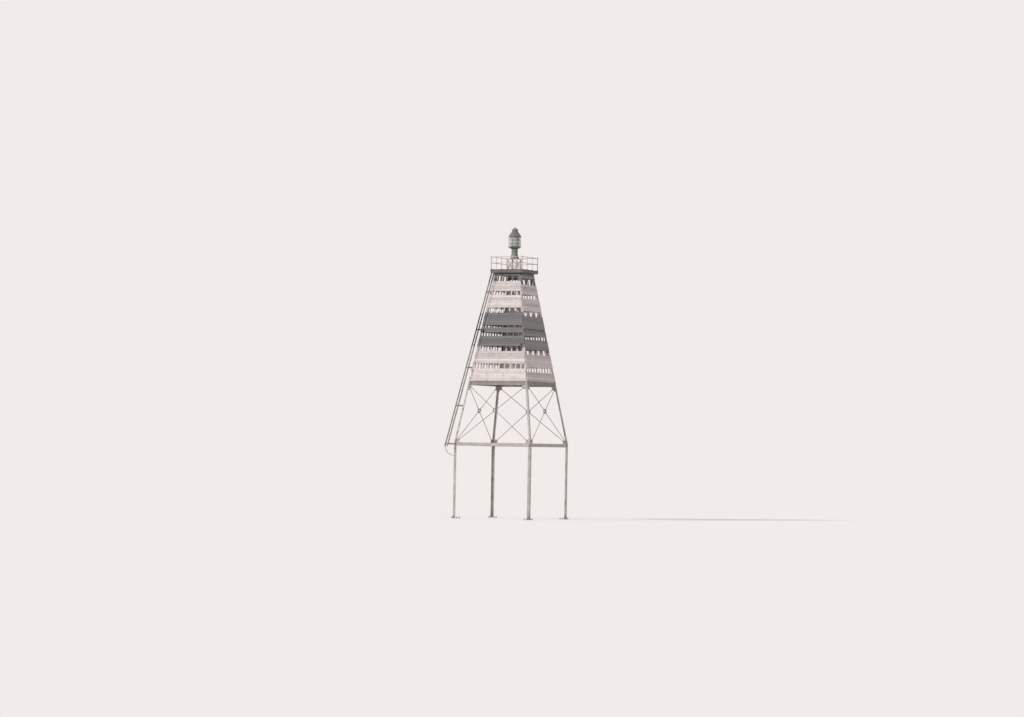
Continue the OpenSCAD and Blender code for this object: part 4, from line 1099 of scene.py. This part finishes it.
def pressedGlass(name, look):
    # Glass whose roughness is dust, more of it where a broad noise is high
    material, add, place = startMaterial(name)
    spot = place["Object"]
    dust = add("TexNoise", [spot, look["dustScale"], 4.0, 0.6])
    rough = add("MapRange", [dust, 0.35, 0.7, look["clear"], look["dusty"]])
    tint = add("Mix", [dust, look["colour"], look["dustColour"]], data_type="RGBA")
    wave = add("TexNoise", [spot, look["waveScale"], 2.0, 0.5])
    bump = add("Bump", {"Height": wave, "Strength": 0.12, "Distance": 0.001})
    shader = add("BsdfPrincipled", {"Base Color": tint, "Roughness": rough, "IOR": 1.52,
                                    "Transmission Weight": look["clarity"], "Normal": bump})
    add("OutputMaterial", {"Surface": shader})
    return material


# Pressed soda glass of a drum lens: clear, faintly green, its moulded surface a little uneven and dusty
lensGlass = pressedGlass("pressedLensGlass", {
    "dustScale": 9.0,  # clouds of dust 110 mm across
    "clear": 0.07, "dusty": 0.34, "clarity": 0.43, "colour": "#f3f6f3", "dustColour": "#e8e7e3",
    "waveScale": 40.0,  # dimples 25 mm apart
})
makePiece("drumLens", drumLens(), lensGlass, ["lantern_lens"], sharp=28)

roof = {
    "eave": 0.238, "throat": 0.106, "cap": 0.118, "shoulder": 0.56, "coneLow": 0.020, "conePower": 1.15,
    "knob": 0.024, "seams": 12, "vents": 12,
}


def coneAt(t, shoulder):
    # Radius and height of the roof's cone: the radius falls with a power near 1 of the way up
    radius = roof["throat"] + (roof["eave"] - 0.008 - roof["throat"]) * (1 - t) ** roof["conePower"]
    return radius, roof["coneLow"] + (shoulder - roof["coneLow"]) * t


def lanternRoof():
    # A hollow cone with standing seams; a throat with louvred vents; a domed cap on a quarter ellipse,
    # and a small knob
    low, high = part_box("lantern_roof")
    height = high.z - low.z
    eave, throat, cap, knob = roof["eave"], roof["throat"], roof["cap"], roof["knob"]
    shoulder = roof["shoulder"] * height
    domeTop = height - knob * 1.5
    turn = np.radians(np.linspace(4, 86, 16))
    crown = np.stack([cap * np.cos(turn), shoulder + 0.028 + (domeTop - shoulder - 0.028) * np.sin(turn)], -1)
    shell = ringShell(np.vstack([
        [eave - 0.006, 0.0], arc((eave - 0.003, 0.003), 0.003, -90, 0, 3), [eave, 0.011],
        arc((eave - 0.003, 0.011), 0.003, 0, 90, 3), [eave - 0.007, 0.015],
        np.stack(coneAt(np.linspace(0, 1, 20), shoulder), -1),
        [throat, shoulder + 0.004], [cap - 0.002, shoulder + 0.006],
        arc((cap - 0.002, shoulder + 0.008), 0.002, -90, 0, 3), [cap, shoulder + 0.024], crown,
        [0.013, domeTop + 0.002], [0.011, domeTop + 0.006],
        arc((0, height - knob * 0.78), knob * 0.78, -48, 84, 11), [0.0012, domeTop - 0.006],
        [cap * 0.5, domeTop - 0.030], [cap - 0.010, shoulder + 0.020], [throat - 0.006, shoulder],
        [throat - 0.006, shoulder - 0.01], [eave - 0.016, 0.014], [eave - 0.012, 0.0]]))
    # standing seams: a small rounded outline carried up the cone
    radius, z = (line[:, None] for line in coneAt(np.linspace(0.02, 0.97, 12), shoulder))
    out = np.array([-0.003, 0.004, 0.0055, 0.0055, 0.004, -0.003])
    side = np.array([-0.003, -0.004, -0.002, 0.002, 0.004, 0.003])
    seam = closedSweep(np.stack(np.broadcast_arrays(radius + out, side, z + 0.5 * out), -1))
    # louvres over the vents: a bent lip that bulges with 1 - y squared
    y = np.linspace(0.018, -0.018, 7)[:, None]
    bulge = 1 - (y / 0.02) ** 2
    out, up = np.array([[0.0, 0.010, 0.011, 0.002], [0.0, -0.012, -0.010, 0.003]])
    lip = np.stack(np.broadcast_arrays(throat + 0.006 + out * bulge, y, shoulder - 0.024 + up * bulge), -1)
    parts = [shell]
    for part, angles in ((seam, evenly(roof["seams"], 0.5)), (closedSweep(lip), evenly(roof["vents"]))):
        parts.append(copies(part, onCircle(0, angles, 0), polarAxes(angles)))
    return [raised(part, low.z) for part in parts]


makePiece("lanternRoof", lanternRoof(), lanternPaint, ["lantern_roof"])


def tarnishedBrass(name, look):
    # Metal between a clean and a tarnished colour by noise; the tarnish is rougher
    material, add, place = startMaterial(name)
    cloud = add("TexNoise", [place["Object"], look["scale"], 6.0, 0.65])
    tarnish = add("MapRange", [cloud, 0.38, 0.66])
    colour = add("Mix", [tarnish, look["clean"], look["tarnished"]], data_type="RGBA")
    rough = add("MapRange", [tarnish, 0.0, 1.0, 0.26, 0.55])
    shader = add("BsdfPrincipled", {"Base Color": colour, "Roughness": rough, "Metallic": 0.95})
    add("OutputMaterial", {"Surface": shader})
    return material


# The lamp inside: spun brass, brown with tarnish in the hollows and bright where it has been handled
lampBrass = tarnishedBrass("tarnishedLampBrass", {
    "scale": 26.0,  # clouds of tarnish 20 to 40 mm across
    "clean": "#b79a5c", "tarnished": "#6b5737",
})
coatNodes(lampBrass, ["lantern_burner"])
# Blown chimney glass: thin and clear, with a breath of soot
chimneyGlass = pressedGlass("blownChimneyGlass", {
    "dustScale": 14.0,  # soot in clouds of 70 mm
    "clear": 0.04, "dusty": 0.2, "clarity": 0.85,
    "colour": "#eef0ec", "dustColour": "#d6d2cb", "waveScale": 40.0,
})
coatNodes(chimneyGlass, ["lamp_chimney"])
# Matt light grey distemper on the blanking screen, so that it shows pale through the lens
screenPaint = paintedSteel("greyDistemperOnScreen", {
    **steelPaint, "dark": "#b4b3af", "light": "#c9c8c4",
    "mottleScale": 9.0,  # patches of 110 mm
    "rustFrom": 0.9, "roughness": 0.7,
})
coatNodes(screenPaint, ["blanking_screen"])
print("lantern built")

ladder = {
    "width": 0.300, "stringer": 0.010, "depth": 0.050, "topOff": 0.085, "footOff": 0.320,
    "firstRung": 0.120, "rungPitch": 0.300, "lastRung": 0.14,
    "brackets": 5, "bracketHeight": 0.060, "bracket": 0.010,
    "burr": (0.013, 0.006), "bolt": (0.019, 0.009, 0.013),
    "towards": 225,  # degrees round from the x axis to the corner that it leans along
}


def ladderFasteners():
    # Burred-over rung ends on the outside of the stringers, and bolts through the brackets' cross bars
    low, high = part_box("ladder")
    footRadius = tower["baseHalf"] * 2 ** 0.5 + ladder["footOff"]
    topRadius = tower["topHalf"] * 2 ** 0.5 + ladder["topOff"]
    lean = atan2(footRadius - topRadius, high.z - low.z)
    length = (high.z - low.z) / cos(lean)
    along = np.arange(ladder["firstRung"], length - ladder["lastRung"], ladder["rungPitch"])
    burr, bolt = dome(*ladder["burr"]), hexHead(*ladder["bolt"])
    parts = []
    for way, axes in ((-1, uprightAxes), (1, [[0, 0, 1], [1, 0, 0], [0, 1, 0]])):
        y = np.full(len(along), way * (ladder["width"] / 2 + ladder["stringer"] / 2))
        spots = np.stack([footRadius - along * sin(lean), y, low.z + along * cos(lean)], -1)
        parts.append(copiesOn(ladder["towards"], burr, spots, axes))
    lowest = ringTop - ladder["bracketHeight"]
    levels = lowest + np.arange(ladder["brackets"]) * (high.z - lowest) / (ladder["brackets"] - 0.5)
    back = footRadius - (levels - low.z) * tan(lean) - ladder["depth"] / 2 / cos(lean) - ladder["bracket"]
    spots = [[r, way * ladder["width"] / 2, z] for r, z in zip(back, levels) for way in (-1, 1)]
    parts.append(copiesOn(ladder["towards"], bolt, spots, [[0, -1, 0], [0, 0, 1], [-1, 0, 0]]))
    return parts


makePiece("ladderFasteners", ladderFasteners(), ladderPaint, sharp=25)
print("ladder fastened")
